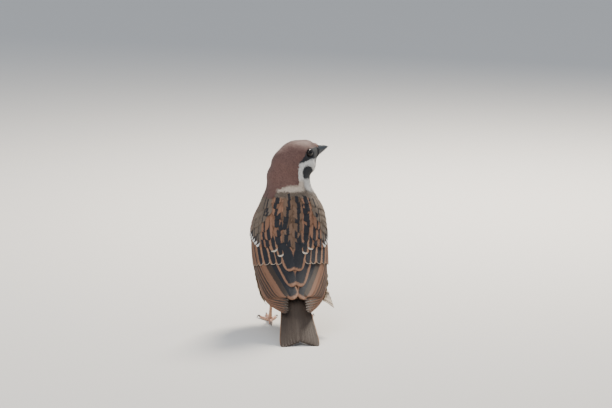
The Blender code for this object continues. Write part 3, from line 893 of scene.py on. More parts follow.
def make_coat(surface, working):
    """Grows every coat of small feathers over the skin's working mesh."""
    tree = coat_tree(coat_material())
    points, normals = points_of(working), normals_of(working)
    keep(working, "lie", "FLOAT_VECTOR", lie_of(points, normals))
    keep(working, "length", "FLOAT", feather_length(points))
    bare = bare_places(points)
    host = in_scene("host", working)
    grower = host.modifiers.new("coat", "NODES")
    grower.node_group = tree
    sockets = {item.name: item.identifier for item in tree.interface.items_tree if item.in_out == "INPUT"}
    for number, (coat, share) in enumerate(coat_shares(points).items()):
        spacing, barbs, widest = COATS[coat]
        keep(working, "share", "FLOAT", share & ~bare)
        shape = tuft(barbs, widest)
        grower[sockets["Tuft"]] = shape
        grower[sockets["Spacing"]] = spacing * 1.0
        grower[sockets["Unevenness"]] = UNEVENNESS
        grower[sockets["Seed"]] = FIRST_SEED + number
        host.update_tag()
        working.update()
        mesh = evaluated(host, "feathers_" + coat)
        bpy.data.objects.remove(shape)
        lay_coat(mesh, surface, coat)
    host.modifiers.remove(grower)
    bpy.data.objects.remove(host)
    bpy.data.node_groups.remove(tree)


def lay_coat(mesh, surface, coat):
    """Bends a grown coat to the skin, tints it with painted shade at the tufts' roots, and stores its bake
    map.
    """
    points = points_of(mesh)
    lane, along, drawn = (values_of(mesh, name) for name in ("lane", "along", "drawn"))
    root = read(mesh.attributes["root"].data, "vector", 3).astype(float)
    roots, one, back = np.unique(np.round(root, 4), axis=0, return_index=True, return_inverse=True)
    back = back.ravel()
    luck = drawn[one]
    _, _, root_face = surface.nearest(roots)
    place, normal, _ = surface.nearest(points)
    depth = (coat_depth(roots) * (0.72 + 0.36 * luck))[back]
    share = np.clip(along, 0, 1)
    height = mixed(TUFT_LIFT, depth, share**0.5) - 0.10 * depth * lane**2
    laid = place + normal * (height + 0.015 * (np.round(lane * 20) % 2))[:, None]
    tips = np.zeros_like(roots)
    count = np.zeros(len(roots))
    far = along > 0.55
    np.add.at(tips, back[far], laid[far])
    np.add.at(count, back[far], 1)
    tint = plumage(tips / np.maximum(count, 1)[:, None])
    tint *= (0.90 + 0.2 * ((luck * 7.13) % 1))[:, None]
    # Each tuft darkens towards its root: painted shade where the tufts overlap.
    keep(mesh, "tint", "FLOAT_COLOR", tint[back] * (0.62 + 0.42 * share)[:, None])
    mesh.vertices.foreach_set("co", placed(laid).astype(np.float32).ravel())
    for name in ("root", "drawn", "lane", "along", "lie", "length", "share"):
        if name in mesh.attributes:
            mesh.attributes.remove(mesh.attributes[name])
    patch = stacked(lane * 0.0015, (share - 0.5) * 0.003)
    keep_map(mesh, surface.map_places(roots, root_face)[back] + patch)
    mesh.shade_smooth()
    mesh.update()
    piece = in_scene("feathers_" + coat, mesh)
    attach(piece, "root")


# ---------------------------------------------------------------- vanes: the large feathers

VANE_THICKNESS, BARB_PITCH = 0.10, 0.34


class Vanes:
    """Gathers large feathers for one piece: closed thin shapes, each with its tints and its patch of map."""

    KEPT = dict(
        web="VECTOR", middle_tint="COLOR", edge_tint="COLOR", tip_tint="COLOR", reach="VECTOR", size="VECTOR"
    )

    def __init__(self):
        self.points, self.faces, self.values = [], [], []

    def add(self, place, length, half, tints, bounds, rows=13, lanes=8, shaft=0.0, taper=(0.45, 0.62, 2.2),
            thickness=VANE_THICKNESS, fray=0.05, straight=False, inner=1.0, cup=0.10):
        """Adds a feather. place(along, across, height) gives points from its root (0) to its tip (1), with
        across and height in millimetres. tints are the colours of middle, edge and tip, and bounds the shares
        of width or length where left edge, right edge and tip start. taper is the root's share of the width,
        where the tip's curve starts and how blunt it is. A straight feather's middle colour keeps its width
        to the tip. inner widens the half nearer to the back's middle line. cup is how far the edges bend
        down, as a share of the width."""
        t = 1 - (1 - np.linspace(0, 1, rows)) ** 1.35
        u = np.linspace(-1, 1, lanes + 1)
        root, shoulder, blunt = taper
        swell = root + (1 - root) * np.sin(np.clip(t / 0.5, 0, 1) * math.pi / 2)
        close = np.clip(1 - (np.clip((t - shoulder) / (1 - shoulder), 0, 1)) ** blunt, 0, 1) ** 0.5
        width = half * np.maximum(swell * close, 0.03)
        ragged = 1 + fray * rng.normal(size=(rows, 2))
        across = width[:, None] * u[None, :]
        across = np.where(u[None, :] < 0, across * ragged[:, :1] * inner, across * ragged[:, 1:])
        along = np.broadcast_to(t[:, None], across.shape)
        thick = thickness * (1 - 0.75 * u**2) * np.ones_like(across)
        bent = -cup * half * u**2 * np.ones_like(across)
        top = place(along.ravel(), across.ravel(), (bent + thick / 2).ravel())
        under = place(along.ravel(), across.ravel(), (bent - thick / 2).ravel())
        columns = lanes + 1
        start = sum(len(p) for p in self.points)
        size = rows * columns
        self.faces += grid_faces(rows, columns, start).tolist()
        self.faces += [face[::-1] for face in grid_faces(rows, columns, start + size).tolist()]
        rim = [*range(columns), *(i * columns + columns - 1 for i in range(1, rows))]
        rim += [(rows - 1) * columns + j for j in range(columns - 2, -1, -1)]
        rim += [i * columns for i in range(rows - 2, 0, -1)]
        for a, b in zip(rim, rim[1:] + rim[:1]):
            self.faces.append([start + b, start + a, start + size + a, start + size + b])
        self.points += [top, under]
        lane = (across / half if straight else np.broadcast_to(u[None, :], across.shape)).ravel()
        for sheet in (0, 1):
            self.values.append((lane, along.ravel(), sheet, tints, bounds, shaft, half, length, rng.random()))

    def finish(self, name, material, replaces=(), slot="wing_brown"):
        points = np.concatenate(self.points)
        piece = new_piece(name, points, outward(points, self.faces), material, replaces)
        mesh = piece.data
        columns = math.ceil(math.sqrt(len(self.values) // 2))
        kept, uv = [], []
        for number, (lane, along, sheet, tints, bounds, shaft, half, length, luck) in enumerate(self.values):
            whole = np.ones((len(lane), 1))
            web = stacked(lane, along, shaft)
            colours = [tint * whole * (0.93 + 0.14 * luck) for tint in tints]
            kept.append((web, *colours, np.array(bounds) * whole, np.array([half, length, luck]) * whole))
            cell = np.array([(number // 2) % columns, (number // 2) // columns])
            left, wide = (0.69, 0.28) if sheet else (0.03, 0.62)
            patch = stacked(left + wide * (lane + 1) / 2, 0.03 + 0.94 * along)
            uv.append((cell + patch) / columns)
        for (name, kind), values in zip(self.KEPT.items(), zip(*kept)):
            keep(mesh, name, "FLOAT_" + kind, np.concatenate(values))
        keep_map(mesh, np.concatenate(uv))


def outward(points, faces):
    """The faces, each closed body of them turned outwards as a whole."""
    faces = [list(f) for f in faces]
    bodies = {}
    owner = np.arange(len(points))  # for each point, another one of the same body

    def top(i):
        while owner[i] != i:
            owner[i] = owner[owner[i]]
            i = owner[i]
        return i

    for face in faces:
        first = top(face[0])
        for corner in face[1:]:
            owner[top(corner)] = first
    for number, face in enumerate(faces):
        bodies.setdefault(top(face[0]), []).append(number)
    for numbers in bodies.values():
        volume = 0.0
        origin = points[faces[numbers[0]][0]]
        for number in numbers:
            corners = points[faces[number]] - origin
            for k in range(1, len(corners) - 1):
                volume += float(np.dot(corners[0], np.cross(corners[k], corners[k + 1])))
        if volume < 0:
            for number in numbers:
                faces[number] = faces[number][::-1]
    return faces


def on_shell(start, end, lift, side=1, bow=0.0, roll=0.0, arch=0.0):
    """(place function, length) for a feather whose middle line runs over the shell from start to end, each
    (section, degrees). lift is its height at root and tip, arch what its middle rises above that, bow bends
    its line round the body, and roll tips its edges."""
    t = np.linspace(0, 1, 13)
    section = mixed(start[0], end[0], t)
    degrees = mixed(start[1], end[1], t) + bow * np.sin(math.pi * t)
    line = shell_point(section, degrees)
    ahead = unit(np.gradient(line, axis=0))
    _, normal, _, _ = SHELL_SURFACE.nearest(line)
    beside = unit(np.cross(ahead, normal))
    reach = float(np.linalg.norm(np.diff(line, axis=0), axis=1).sum())

    def place(along, across, height):
        middle, away = (stacked(*(np.interp(along, t, row) for row in rows.T)) for rows in (line, beside))
        near, out, _, _ = SHELL_SURFACE.nearest(middle + away * across[:, None])
        rise = mixed(*lift, along) + arch * np.sin(math.pi * along) + roll * across + height
        return (near + out * rise[:, None]) * (side, 1, 1)

    return place, reach


def vane_material(name, roughness=0.62):
    """A feather's web: a middle colour, an edge and a tip that fray into it, fine barbs and a thin shaft."""
    nodes = Finish(name, roughness, 0.12)
    lane, along, shaft = nodes.parts("web")
    left, right, tip_from = nodes.parts("reach")
    half, length, luck = nodes.parts("size")
    # Places on the feather in millimetres, slanted as its barbs run.
    off = nodes.math("MULTIPLY", nodes.math("SUBTRACT", lane, shaft), half)
    away = nodes.math("ABSOLUTE", off)
    slant = nodes.math("ADD", nodes.math("MULTIPLY", along, length), nodes.math("MULTIPLY", away, -0.9))
    grain = nodes.joined(nodes.math("MULTIPLY", off, 0.35), slant, nodes.math("MULTIPLY", luck, 50.0))
    # Edge and tip, where they wander along the barbs.
    wander = nodes.math("MULTIPLY", nodes.math("SUBTRACT", nodes.noise(grain, 2.6, 3.0), 0.5), 0.42)
    place = nodes.math("ADD", lane, wander)
    past_right = nodes.math("SUBTRACT", place, right)
    past_left = nodes.math("SUBTRACT", nodes.math("MULTIPLY", place, -1.0), left)
    edge = nodes.math("MAXIMUM", nodes.ramp(past_right, -0.07, 0.07), nodes.ramp(past_left, -0.07, 0.07))
    bend = nodes.math("MULTIPLY", nodes.math("MULTIPLY", lane, lane), 0.05)
    reached = nodes.math("ADD", nodes.math("ADD", along, bend), nodes.math("MULTIPLY", wander, 0.25))
    tip = nodes.ramp(nodes.math("SUBTRACT", reached, tip_from), -0.02, 0.03)
    colour = nodes.mix(edge, nodes.stored("middle_tint", "Color"), nodes.stored("edge_tint", "Color"))
    colour = nodes.mix(tip, colour, nodes.stored("tip_tint", "Color"))
    # Barbs across the web, and the dark shaft.
    barbs = nodes.math("SINE", nodes.math("MULTIPLY", slant, 2 * math.pi / BARB_PITCH))
    barbs = nodes.math("MULTIPLY_ADD", barbs, 0.5, 0.5)
    shade = nodes.math("MULTIPLY_ADD", nodes.noise(grain, 9.0), 0.5, 0.70)
    shade = nodes.math("MULTIPLY_ADD", barbs, 0.10, shade)
    grey = nodes.out(nodes.add("ShaderNodeCombineColor", {0: shade, 1: shade, 2: shade}))
    colour = nodes.mix(1.0, colour, grey, "MULTIPLY")
    rib = nodes.ramp(away, 0.16, 0.06)
    nodes.set("Base Color", nodes.mix(nodes.math("MULTIPLY", rib, 0.3), colour, (0.030, 0.022, 0.018)))
    nodes.bump(nodes.math("ADD", nodes.math("MULTIPLY", barbs, 0.5), rib), 0.5, 0.00008)
    return nodes.made


def jitter(amount):
    return float(rng.normal() * amount)


def varied(colour, least, spread):
    """The colour, darker or lighter by chance."""
    return colour * (least + spread * rng.random())


# The back's columns of feathers: how far from the middle line, the first and last tip's section, the section
# where the black streaks start, the width of the black as a share, and the edges' colour.
MANTLE = (
    (12.2, 6.1, 4.4, 0.0, 0.0, RUFOUS),
    (0.0, 6.4, 2.7, 0.0, 0.0, MIDDLE_BROWN),
    (6.0, 6.4, 3.0, 0.0, 0.0, RUFOUS),
    (15.2, 5.9, 4.9, 6.1, 0.36, GREY_BROWN),
    (9.0, 6.3, 3.25, 6.5, 0.47, RUFOUS),
    (3.1, 6.4, 2.95, 6.5, 0.36, BACK_BROWN),
)
MANTLE_STEP = 0.33  # sections from one tip to the next


def mantle_feathers(vanes):
    """The back: columns of plain feathers and of feathers with a black streak between brown edges."""
    halves = [row[4] for row in SHELL_ROWS]
    for away, first, last, blackest, black, edge in MANTLE:
        for side in (1, -1) if away else (1,):
            for k, tip in enumerate(np.arange(first, last - 0.01, -MANTLE_STEP)):
                tip = tip + jitter(0.06) + (0.12 if side > 0 else 0)
                half_body = float(np.interp(tip, range(len(halves)), halves))
                degrees = math.degrees(math.asin(min(0.98, (away + jitter(0.45)) / half_body)))
                lift = (-1.05, -0.10 - 0.02 * k) if black else (-1.5, -0.75)
                turn = degrees * (1.0 - 0.03 * (7 - tip)) + jitter(2.0)
                short = k < 2
                start = tip + (0.4 if k == 0 else 0.7 if short else 1.05)
                lift = (-1.7 + 0.3 * k, -0.7 + 0.25 * k) if short else lift
                place, length = on_shell((start, degrees), (tip, turn), lift, side)
                dark = black * (1 - 0.6 * smooth(5.8, blackest, tip)) if tip < blackest + jitter(0.1) else 0.0
                inner, outer = (dark * (0.5 + 0.85 * rng.random()) - (0 if dark else 0.2) for _ in range(2))
                tint = varied(mixed(edge, GREY_BROWN * 1.25, smooth(5.6, 6.4, tip)), 0.72, 0.5)
                half = 3.2 - 0.7 * smooth(5.2, 6.1, tip)
                vanes.add(place, length, half, (BLACK, tint, tint), (inner, outer, 1.3),
                          taper=(0.5, 0.62, 2.0), fray=0.09, straight=True)


# The feathers over the shoulder, from the lowest row up: each tip's section and degrees, the share of black
# and the edge's colour.
SCAPULARS = (
    (3.40, 48, 0.30, RUFOUS), (3.35, 38, 0.42, RUFOUS), (3.12, 27, 0.42, RUFOUS_BUFF),
    (2.92, 17, 0.52, RUFOUS_BUFF),
    (3.75, 55, 0.16, GREY_BROWN), (3.80, 44, 0.30, RUFOUS), (3.70, 34, 0.40, RUFOUS),
    (4.15, 64, 0.10, GREY_BROWN), (4.20, 54, 0.08, GREY_BROWN), (4.25, 43, 0.20, RUFOUS),
    (4.60, 66, 0.10, GREY_BROWN), (4.65, 57, 0.05, GREY_BROWN), (4.70, 47, 0.10, GREY_BROWN),
    (5.05, 66, 0.08, GREY_BROWN), (5.10, 57, 0.05, GREY_BROWN), (5.15, 48, 0.14, GREY_BROWN),
    (5.50, 62, 0.00, GREY_BROWN), (5.55, 53, 0.10, GREY_BROWN), (5.60, 44, 0.18, GREY_BROWN),
)


def scapular_feathers(vanes):
    """The long feathers where back and wing meet. The lowest ones near the back have whitish tips."""
    for side in (1, -1):
        for section, degrees, black, edge in SCAPULARS:
            section, degrees = section + jitter(0.04), degrees + jitter(1.0)
            place, length = on_shell((section + 1.15, degrees + 5), (section, degrees), (-1.0, 0.02), side)
            pale = section < 3.3 and degrees < 32
            tip = BUFF_WHITE if pale else edge
            tint = varied(edge, 0.85, 0.3)
            vanes.add(place, length, 3.2, (BLACK, tint, tip), (black, black * 0.7, 0.93 if pale else 1.3),
                      taper=(0.5, 0.6, 2.0), straight=not pale, fray=0.07)


GREATER_COVERTS = (22, 31, 43, 55, 66, 76, 85, 93, 100)  # degrees of their tips


def covert_feathers(vanes):
    """Lesser, median, greater and primary coverts of both wings."""
    for side in (1, -1):
        for row, (section, count) in enumerate(((5.45, 6), (5.15, 7), (4.85, 8), (4.6, 8))):
            for k in range(count):
                degrees = 58 + (101 - 58) * (k + 0.5 * (row % 2)) / count
                tip = section - 0.004 * (degrees - 62) + jitter(0.02)
                place, length = on_shell((tip + 0.75, degrees - 2), (tip, degrees), (-0.6, 0.05), side)
                tint = varied(mixed(GREY_BROWN, CHESTNUT * 1.15, smooth(76, 88, degrees)), 0.88, 0.24)
                vanes.add(place, length, 2.6, (tint,) * 3, (0.1, 0.1, 1.2), rows=10, lanes=6, fray=0.08)
        for k in range(7):
            degrees = 58 + 5.6 * k
            tip = 3.58 + 0.164 * k - 0.08 * (side < 0)
            place, length = on_shell((tip + 0.95, degrees + 1), (tip, degrees), (-0.7, 0.0), side, roll=-0.03)
            vanes.add(place, length, 2.1, (SOFT_BLACK, SOFT_BLACK, WHITE), (0.9, 0.9, 0.87),
                      taper=(0.5, 0.6, 2.0))
        for k, degrees in enumerate(GREATER_COVERTS):
            tip = 2.45 + 0.5 * (1 - math.cos(math.radians(degrees)))
            outer = smooth(46, 70, degrees)
            sink = 0.6 * smooth(74, 100, degrees)
            edge = mixed(RUFOUS_BUFF, RUFOUS * 0.75, outer)
            share = 0.62 - 0.50 * outer
            start = (tip + 1.35, degrees + 6)
            place, length = on_shell(start, (tip, degrees), (-0.75 - sink, -0.12 - sink), side, roll=0.02)
            pale = BUFF_WHITE * (0.9 - 0.35 * outer)
            vanes.add(place, length, 2.75, (BLACK, edge, pale), (share, share * 0.8, 0.99),
                      taper=(0.6, 0.76, 2.6), cup=0.05)
        for k in range(4):
            degrees = 90 + 3.0 * k
            tip = 3.0 - 0.10 * k
            start, end = (tip + 1.15, degrees), (tip, degrees + 0.5)
            place, length = on_shell(start, end, (-1.9, -1.1), side, roll=-0.05)
            vanes.add(place, length, 1.5, (SOFT_BLACK, RUFOUS, RUFOUS), (0.85, 0.5, 0.96),
                      taper=(0.6, 0.75, 2.4))


# How far round the lowest primary lies, in degrees, at each section.
PRIMARY_EDGE = ((0, 0.4, 1, 1.6, 2.62), (52, 76, 92, 100, 104))
# Where the primaries end: section and degrees, from the longest one up.
PRIMARY_TIPS = (
    (0.0, 44), (0.03, 35), (0.12, 28), (0.27, 24), (0.44, 21), (0.6, 18), (0.76, 16), (0.86, 20), (0.92, 28),
)
# Each secondary's half width and the share of its outer half that is dark.
SECONDARIES = ((2.8, 0.84), (2.8, 0.82), (2.8, 0.78), (2.8, 0.72), (2.9, 0.62), (3.5, 0.2))
# The three long feathers over the folded wing: where each starts and ends (section, degrees), and its half
# width.
TERTIALS = (((2.95, 38), (0.78, 5.5), 3.7), ((3.3, 29), (1.42, 5), 3.7), ((3.5, 18), (2.14, 5.5), 3.8))


def flight_feathers(side):
    """Primaries, secondaries and tertials of one wing."""
    vanes = Vanes()
    for k, (tip, foot) in enumerate(PRIMARY_TIPS):
        root = 104 - 6 - 4.4 * k
        edge = float(np.interp(1.3, *PRIMARY_EDGE)) - 6 - 4.2 * k
        bow = edge - (root + (foot - root) * (2.7 - 1.3) / (2.7 - tip))
        lift = (-2.05 + 0.07 * k, -1.55 + 0.08 * k)
        place, length = on_shell((2.7, root), (tip, foot), lift, side, bow=bow * 1.05, roll=0.06)
        vanes.add(place, length, 2.5, (WING_BROWN, RUFOUS * 0.9, WING_BROWN), (0.97, 0.6, 0.99), rows=20,
                  shaft=0.3, taper=(0.7, 0.66, 1.35), fray=0.01, cup=0.03)
    for k, (half, dark) in enumerate(SECONDARIES):
        root, foot = 84 - 6.4 * k, 50 - 6.2 * k
        tip = 1.02 - 0.02 * k
        lift = (-1.35 + 0.10 * k, -0.95 + 0.08 * k)
        place, length = on_shell((3.35, root + 5), (tip, foot), lift, side, roll=0.05)
        web = RUFOUS * (0.62 + 0.06 * k)
        vanes.add(place, length, half, (WING_BROWN * 0.75, web, web), (0.95, dark, 1.0), rows=18,
                  shaft=0.2, taper=(0.7, 0.80, 2.4), fray=0.01, cup=0.03)
    for k, (start, end, half) in enumerate(TERTIALS):
        lift = (-0.85 + 0.22 * k, -0.72 + 0.24 * k + 0.08 * (side > 0))
        end = (end[0], end[1] + (0 if side > 0 else (7, 2, 0)[k]))
        place, length = on_shell(start, end, lift, side)
        web = mixed(RUFOUS, RUFOUS_BUFF, 0.3)
        vanes.add(place, length, half, (BLACK, web, web), (0.84, 0.52, 0.915), rows=20, lanes=12,
                  shaft=0.0, taper=(0.75, 0.70, 2.2), fray=0.01, inner=1.45)
    return vanes


def tail_place(root_x, tip_x, length, lift, side):
    """The place function of a tail feather that runs back and down to the floor."""
    slope = math.radians(TAIL_SLOPE_DEG)
    ahead = np.array([0, math.cos(slope), -math.sin(slope)])
    upward = np.array([0, math.sin(slope), math.cos(slope)])

    def place(along, across, height):
        spread = mixed(root_x, tip_x, along) + across
        arch = 1.4 * (1 - along) * (1 - (spread / 6) ** 2)
        rise = lift + np.maximum(arch, -0.3) + height
        found = np.array([0, *TAIL_ROOT]) + ahead * (length * along)[:, None] + upward * rise[:, None]
        found[:, 0] = spread * side
        found[:, 2] = np.maximum(found[:, 2], 0.03)
        return found

    return place


def make_tail():
    vanes = Vanes()
    for k in range(5, -1, -1):
        for side in (1, -1):
            share = k / 5
            length = TAIL_LENGTH - TAIL_NOTCH * (1 - share) ** 1.2 - 0.3 * (side < 0)
            lift = 0.40 - 0.15 * k - 0.05 * (side < 0)
            place = tail_place(0.5 + 0.55 * k, 1.5 + 1.62 * k, length, lift, side)
            vanes.add(place, length, 2.5, (WING_BROWN, RUFOUS_BUFF, WING_BROWN), (0.93, 0.86, 0.99), rows=20,
                      shaft=0.30 if k else 0.0, taper=(0.5, 0.86, 1.9), fray=0.01)
    vanes.finish("tail_feathers", vane_material("tail web"), ("tail",), "tail_brown")


def make_rump():
    """Plain feathers over the root of the tail, above and below."""
    vanes = Vanes()
    length = 13.0
    slope = math.radians(TAIL_SLOPE_DEG)
    for row in range(5):
        for k in range(6 - row % 2):
            across = (k - (5 - row % 2) / 2) * 2.6
            start = -9.0 + 3.4 * row

            def place(along, offset, height, across=across, start=start, row=row):
                y = start + length * along
                x = (across + offset) * np.interp(y, [-9, 4, 16], [1.25, 1.0, 0.72])
                rise = 2.0 - 0.055 * x**2 - 0.03 * y + 0.7 * along - 0.18 * row + height
                back = TAIL_ROOT[0] + y * math.cos(slope) + rise * math.sin(slope)
                return stacked(x, back, TAIL_ROOT[1] - y * math.sin(slope) + rise * math.cos(slope))

            vanes.add(place, length, 2.7, (RUMP, RUMP, RUMP), (0.6, 0.6, 0.9), fray=0.12)
    vanes.finish("rump_feathers", vane_material("rump web", 0.7), (), "streaked_brown")


def free_feather(start, end, out, bow):
    """(place function, length) for a feather that runs free from start to end and faces out."""
    start, end = np.array(start), np.array(end)
    ahead = unit(end - start)
    out = unit(np.array(out) - ahead * np.dot(out, ahead))
    beside = np.cross(ahead, out)

    def place(along, across, height):
        middle = mixed(start, end, along[:, None])
        return middle + beside * across[:, None] + out * (height + bow * np.sin(math.pi * along))[:, None]

    return place, float(np.linalg.norm(end - start))


def make_flanks():
    """Loose flank feathers showing past each wing's lower edge, fuller and painted paler on the bird's right.
    """
    vanes = Vanes()
    for side in (1, -1):
        fuller = side < 0
        for section in rng.uniform(1.0, 3.1, 66 if fuller else 56):
            edge = float(np.interp(section, *PRIMARY_EDGE))
            start = (section + rng.uniform(0.35, 0.6), edge + rng.uniform(7, 18))
            end = (section - rng.uniform(0.0, 0.2), edge + rng.uniform(-5 if fuller else 0, 7))
            arch = (1.9 if fuller else 1.3) * (0.5 + 0.5 * rng.random()) * smooth(0.7, 1.5, section)
            place, length = on_shell(start, end, (-2.0, -0.9), side, arch=arch)
            # On the bird's right the feathers are paler: their own buff, with a painted highlight added
            # there.
            tint = mixed(FLANK, BUFF_WHITE, (0.9 if fuller else 0.4) * rng.random())
            vanes.add(place, length, rng.uniform(0.8, 1.5), (tint, tint * 0.9, tint), (0.5, 0.5, 1.2),
                      rows=9, lanes=4, thickness=0.05, taper=(0.5, 0.3, 1.4), fray=0.16)
    for _ in range(64):
        up = rng.random()
        section = 1.12 + 0.66 * up
        root = shell_point(np.array([section]), np.array([float(np.interp(section, *PRIMARY_EDGE)) + 5]))[0]
        root = root * (-1, 1, 1) + (1.2, -1.0, 0.0)
        reach = 2.0 + 3.4 * (1 - up) + 0.8 * rng.random()
        end = root + (-reach, 5.2 + rng.uniform(-0.8, 0.8), 0.9 - 0.75 * reach + rng.uniform(-0.7, 0.7))
        place, length = free_feather(root, end, (-0.35, 0.6, 0.75), 0.6)
        # The loose tuft on the bird's right is pale partly in its own buff and partly as a painted highlight.
        tint = mixed(FLANK, BUFF_WHITE, 0.5 + 0.5 * rng.random())
        vanes.add(place, length, rng.uniform(0.6, 1.0), (tint * 0.9, tint, tint), (0.3, 0.3, 1.2),
                  rows=10, lanes=4, thickness=0.05, taper=(0.5, 0.12, 1.2), fray=0.08)
    vanes.finish("flank_feathers", vane_material("flank web", 0.7), (), "buff")


def make_vanes():
    web = vane_material("feather web")
    back = Vanes()
    mantle_feathers(back)
    scapular_feathers(back)
    back.finish("back_feathers", web, (), "streaked_brown")
    coverts = Vanes()
    covert_feathers(coverts)
    coverts.finish("wing_covert_feathers", web)
    for side, name in SIDES:
        flight_feathers(side).finish(
            f"wing_{name}_flight_feathers", web, (f"wing_{name}_secondaries", f"wing_{name}_primaries")
        )
    make_tail()
    make_rump()
    make_flanks()


# ---------------------------------------------------------------- eyes, bill, legs and claws

SKULL_LENGTH = 12.4  # the skull's half length, from which the bill's length counts
NOSTRIL_AHEAD = 13.9  # from the head's middle
NOSTRILS = (0.22, 0.78)  # how far round the upper half they lie
# Along a toe: (share of its length, share of its radius), for the pads under its joints.
TOE_PADS = ((0, 1.05), (0.16, 1.0), (0.34, 1.02), (0.5, 0.88), (0.66, 0.98), (0.82, 0.84), (0.94, 0.92),
            (1.0, 0.6), (1.035, 0.36), (1.05, 0.05))
TARSUS_SWELL = ((0, 1.0), (0.1, 1.12), (0.22, 0.95), (0.4, 0.86), (0.72, 0.88), (0.92, 1.08), (1.0, 1.0))
TOE_PLATE, TARSUS_PLATE = 0.95, 2.1  # how long the plates of horn are


def closed_tube(rings, start):
    """Faces of a tube through the rings, with a cap at each end."""
    rows, around = rings.shape[:2]
    faces = []
    for a in range(start, start + (rows - 1) * around, around):
        for j in range(around):
            k = (j + 1) % around
            faces.append((a + j, a + k, a + around + k, a + around + j))
    first, last = range(start, start + around), range(start + (rows - 1) * around, start + rows * around)
    return [*faces, tuple(reversed(first)), tuple(last)]


def rings_along(path, radii, top):
    """Rings round a path. radii[i, j] is ring i's radius at turn j, counted from the way that top points."""
    ahead = unit(np.gradient(path, axis=0))
    beside = unit(np.cross(ahead, np.broadcast_to(top, path.shape)))
    above = np.cross(beside, ahead)
    turn = turns(radii.shape[1])
    spokes = np.cos(turn)[None, :, None] * above[:, None] + np.sin(turn)[None, :, None] * beside[:, None]
    return path[:, None] + radii[..., None] * spokes


class Solid:
    """Gathers closed tubes for one piece, with a place on the surface kept for its material."""

    def __init__(self):
        self.points, self.faces, self.places = [], [], []

    def add(self, rings, place):
        start = sum(len(p) for p in self.points)
        self.faces += closed_tube(rings, start)
        self.points.append(rings.reshape(-1, 3))
        self.places.append(place.reshape(-1, 3))

    def finish(self, name, material, replaces, slot, side=1):
        points = np.concatenate(self.points) * (side, 1, 1)
        piece = new_piece(name, points, outward(points, self.faces), material, replaces)
        keep(piece.data, "spot", "FLOAT_VECTOR", np.concatenate(self.places))


def toe_line(toe, along, height):
    """Points at these distances from the foot's middle in the way the toe points."""
    angle = math.radians(TOES[toe][0])
    ahead = np.array([math.sin(angle), -math.cos(angle), 0])
    line = np.array([FOOT_OUT, FOOT_BACK, 0]) + ahead * along[:, None]
    line[:, 2] += height
    return line


def toe_rings(toe):
    """A toe: pads below, a row of overlapping plates on top."""
    _, length, radius = TOES[toe]
    shares, thick = between(TOE_PADS, np.linspace(0, len(TOE_PADS) - 1, 84)).T
    along = shares * length
    lift = np.clip(0.22 - shares, 0, None) / 0.22 * ANKLE_HEIGHT * 0.8
    turn = turns(22)
    upper = smooth(0.1, 0.6, np.cos(turn))
    plates = (along / TOE_PLATE % 1)[:, None]
    knob = 0.03 * np.sin(turn * 5) * np.sin(along * 9)[:, None] * (1 - upper)
    radii = radius * (thick[:, None] * (1 + 0.07 * (plates - 0.6) * upper) + knob)
    rings = rings_along(toe_line(toe, along, radius * (1 - TOE_SOLE) * thick + lift), radii, (0, 0, 1))
    rings[..., 2] = np.maximum(rings[..., 2], 0.0)
    return rings, stacked(mixed(0.5, plates, upper), along[:, None], upper)


def tarsus_rings():
    """The bare shank, with large plates down its front."""
    low = np.array([FOOT_OUT, FOOT_BACK, ANKLE_HEIGHT - 0.5])
    share = np.linspace(0, 1, 96)
    swell = between(TARSUS_SWELL, np.linspace(0, len(TARSUS_SWELL) - 1, len(share)))
    thick = np.interp(share, *swell.T)[:, None]
    facing = np.cos(turns(24))
    front = smooth(-0.1, 0.45, facing)
    along = share[:, None] * np.linalg.norm(HEEL - low)
    plates = 1 - (along + 0.25 * (1 - facing)) / TARSUS_PLATE % 1
    radii = TARSUS_RADIUS * thick * (0.86 + 0.14 * facing**2) * (1 + 0.06 * (plates - 0.6) * front)
    path = low + (HEEL - low) * share[:, None]
    return rings_along(path, radii, (0, -1, 0)), stacked(mixed(0.5, plates, front), along, front)


def knuckle_rings():
    """The knob where the toes meet the shank."""
    polar = np.linspace(0.05, math.pi - 0.05, 14)[:, None]
    path = np.array([FOOT_OUT, FOOT_BACK, ANKLE_HEIGHT - 0.3]) - np.cos(polar) * np.array([0, 0, 1.5])
    rings = rings_along(path, 1.42 * np.sin(polar) * np.ones(20), (0, -1, 0))
    return rings, np.full(rings.shape, 0.5)


def claw_rings(toe):
    """A curved claw that leaves the toe's end level and bends down to a point on the floor."""
    _, length, radius = TOES[toe]
    inside = 0.5  # how far inside the toe it starts
    base = radius * 0.95
    share = np.linspace(-(CLAW_GAP + inside) / CLAWS[toe], 1, 26)
    rise = 0.55 * np.sin(math.pi * np.clip(share * 1.15, 0, 1)) - (base - 0.22) * np.clip(share, 0, 1) ** 1.8
    path = toe_line(toe, length + CLAW_GAP + CLAWS[toe] * share, base + rise)
    taper = 0.66 * (1 - np.clip(share, 0, 1)) ** 0.62 + 0.03
    facing = np.cos(turns(14))
    radii = taper[:, None] * (0.80 + 0.22 * facing**2)
    return rings_along(path, radii, (0, 0, 1)), stacked(share[:, None], facing, 0)


def bill_taper(share):
    """The bill's depth and width at a share of its length, as shares of what they are at its root."""
    return (1 - share**1.35) * 0.93 + 0.07, 1 - share**1.2 * 0.92


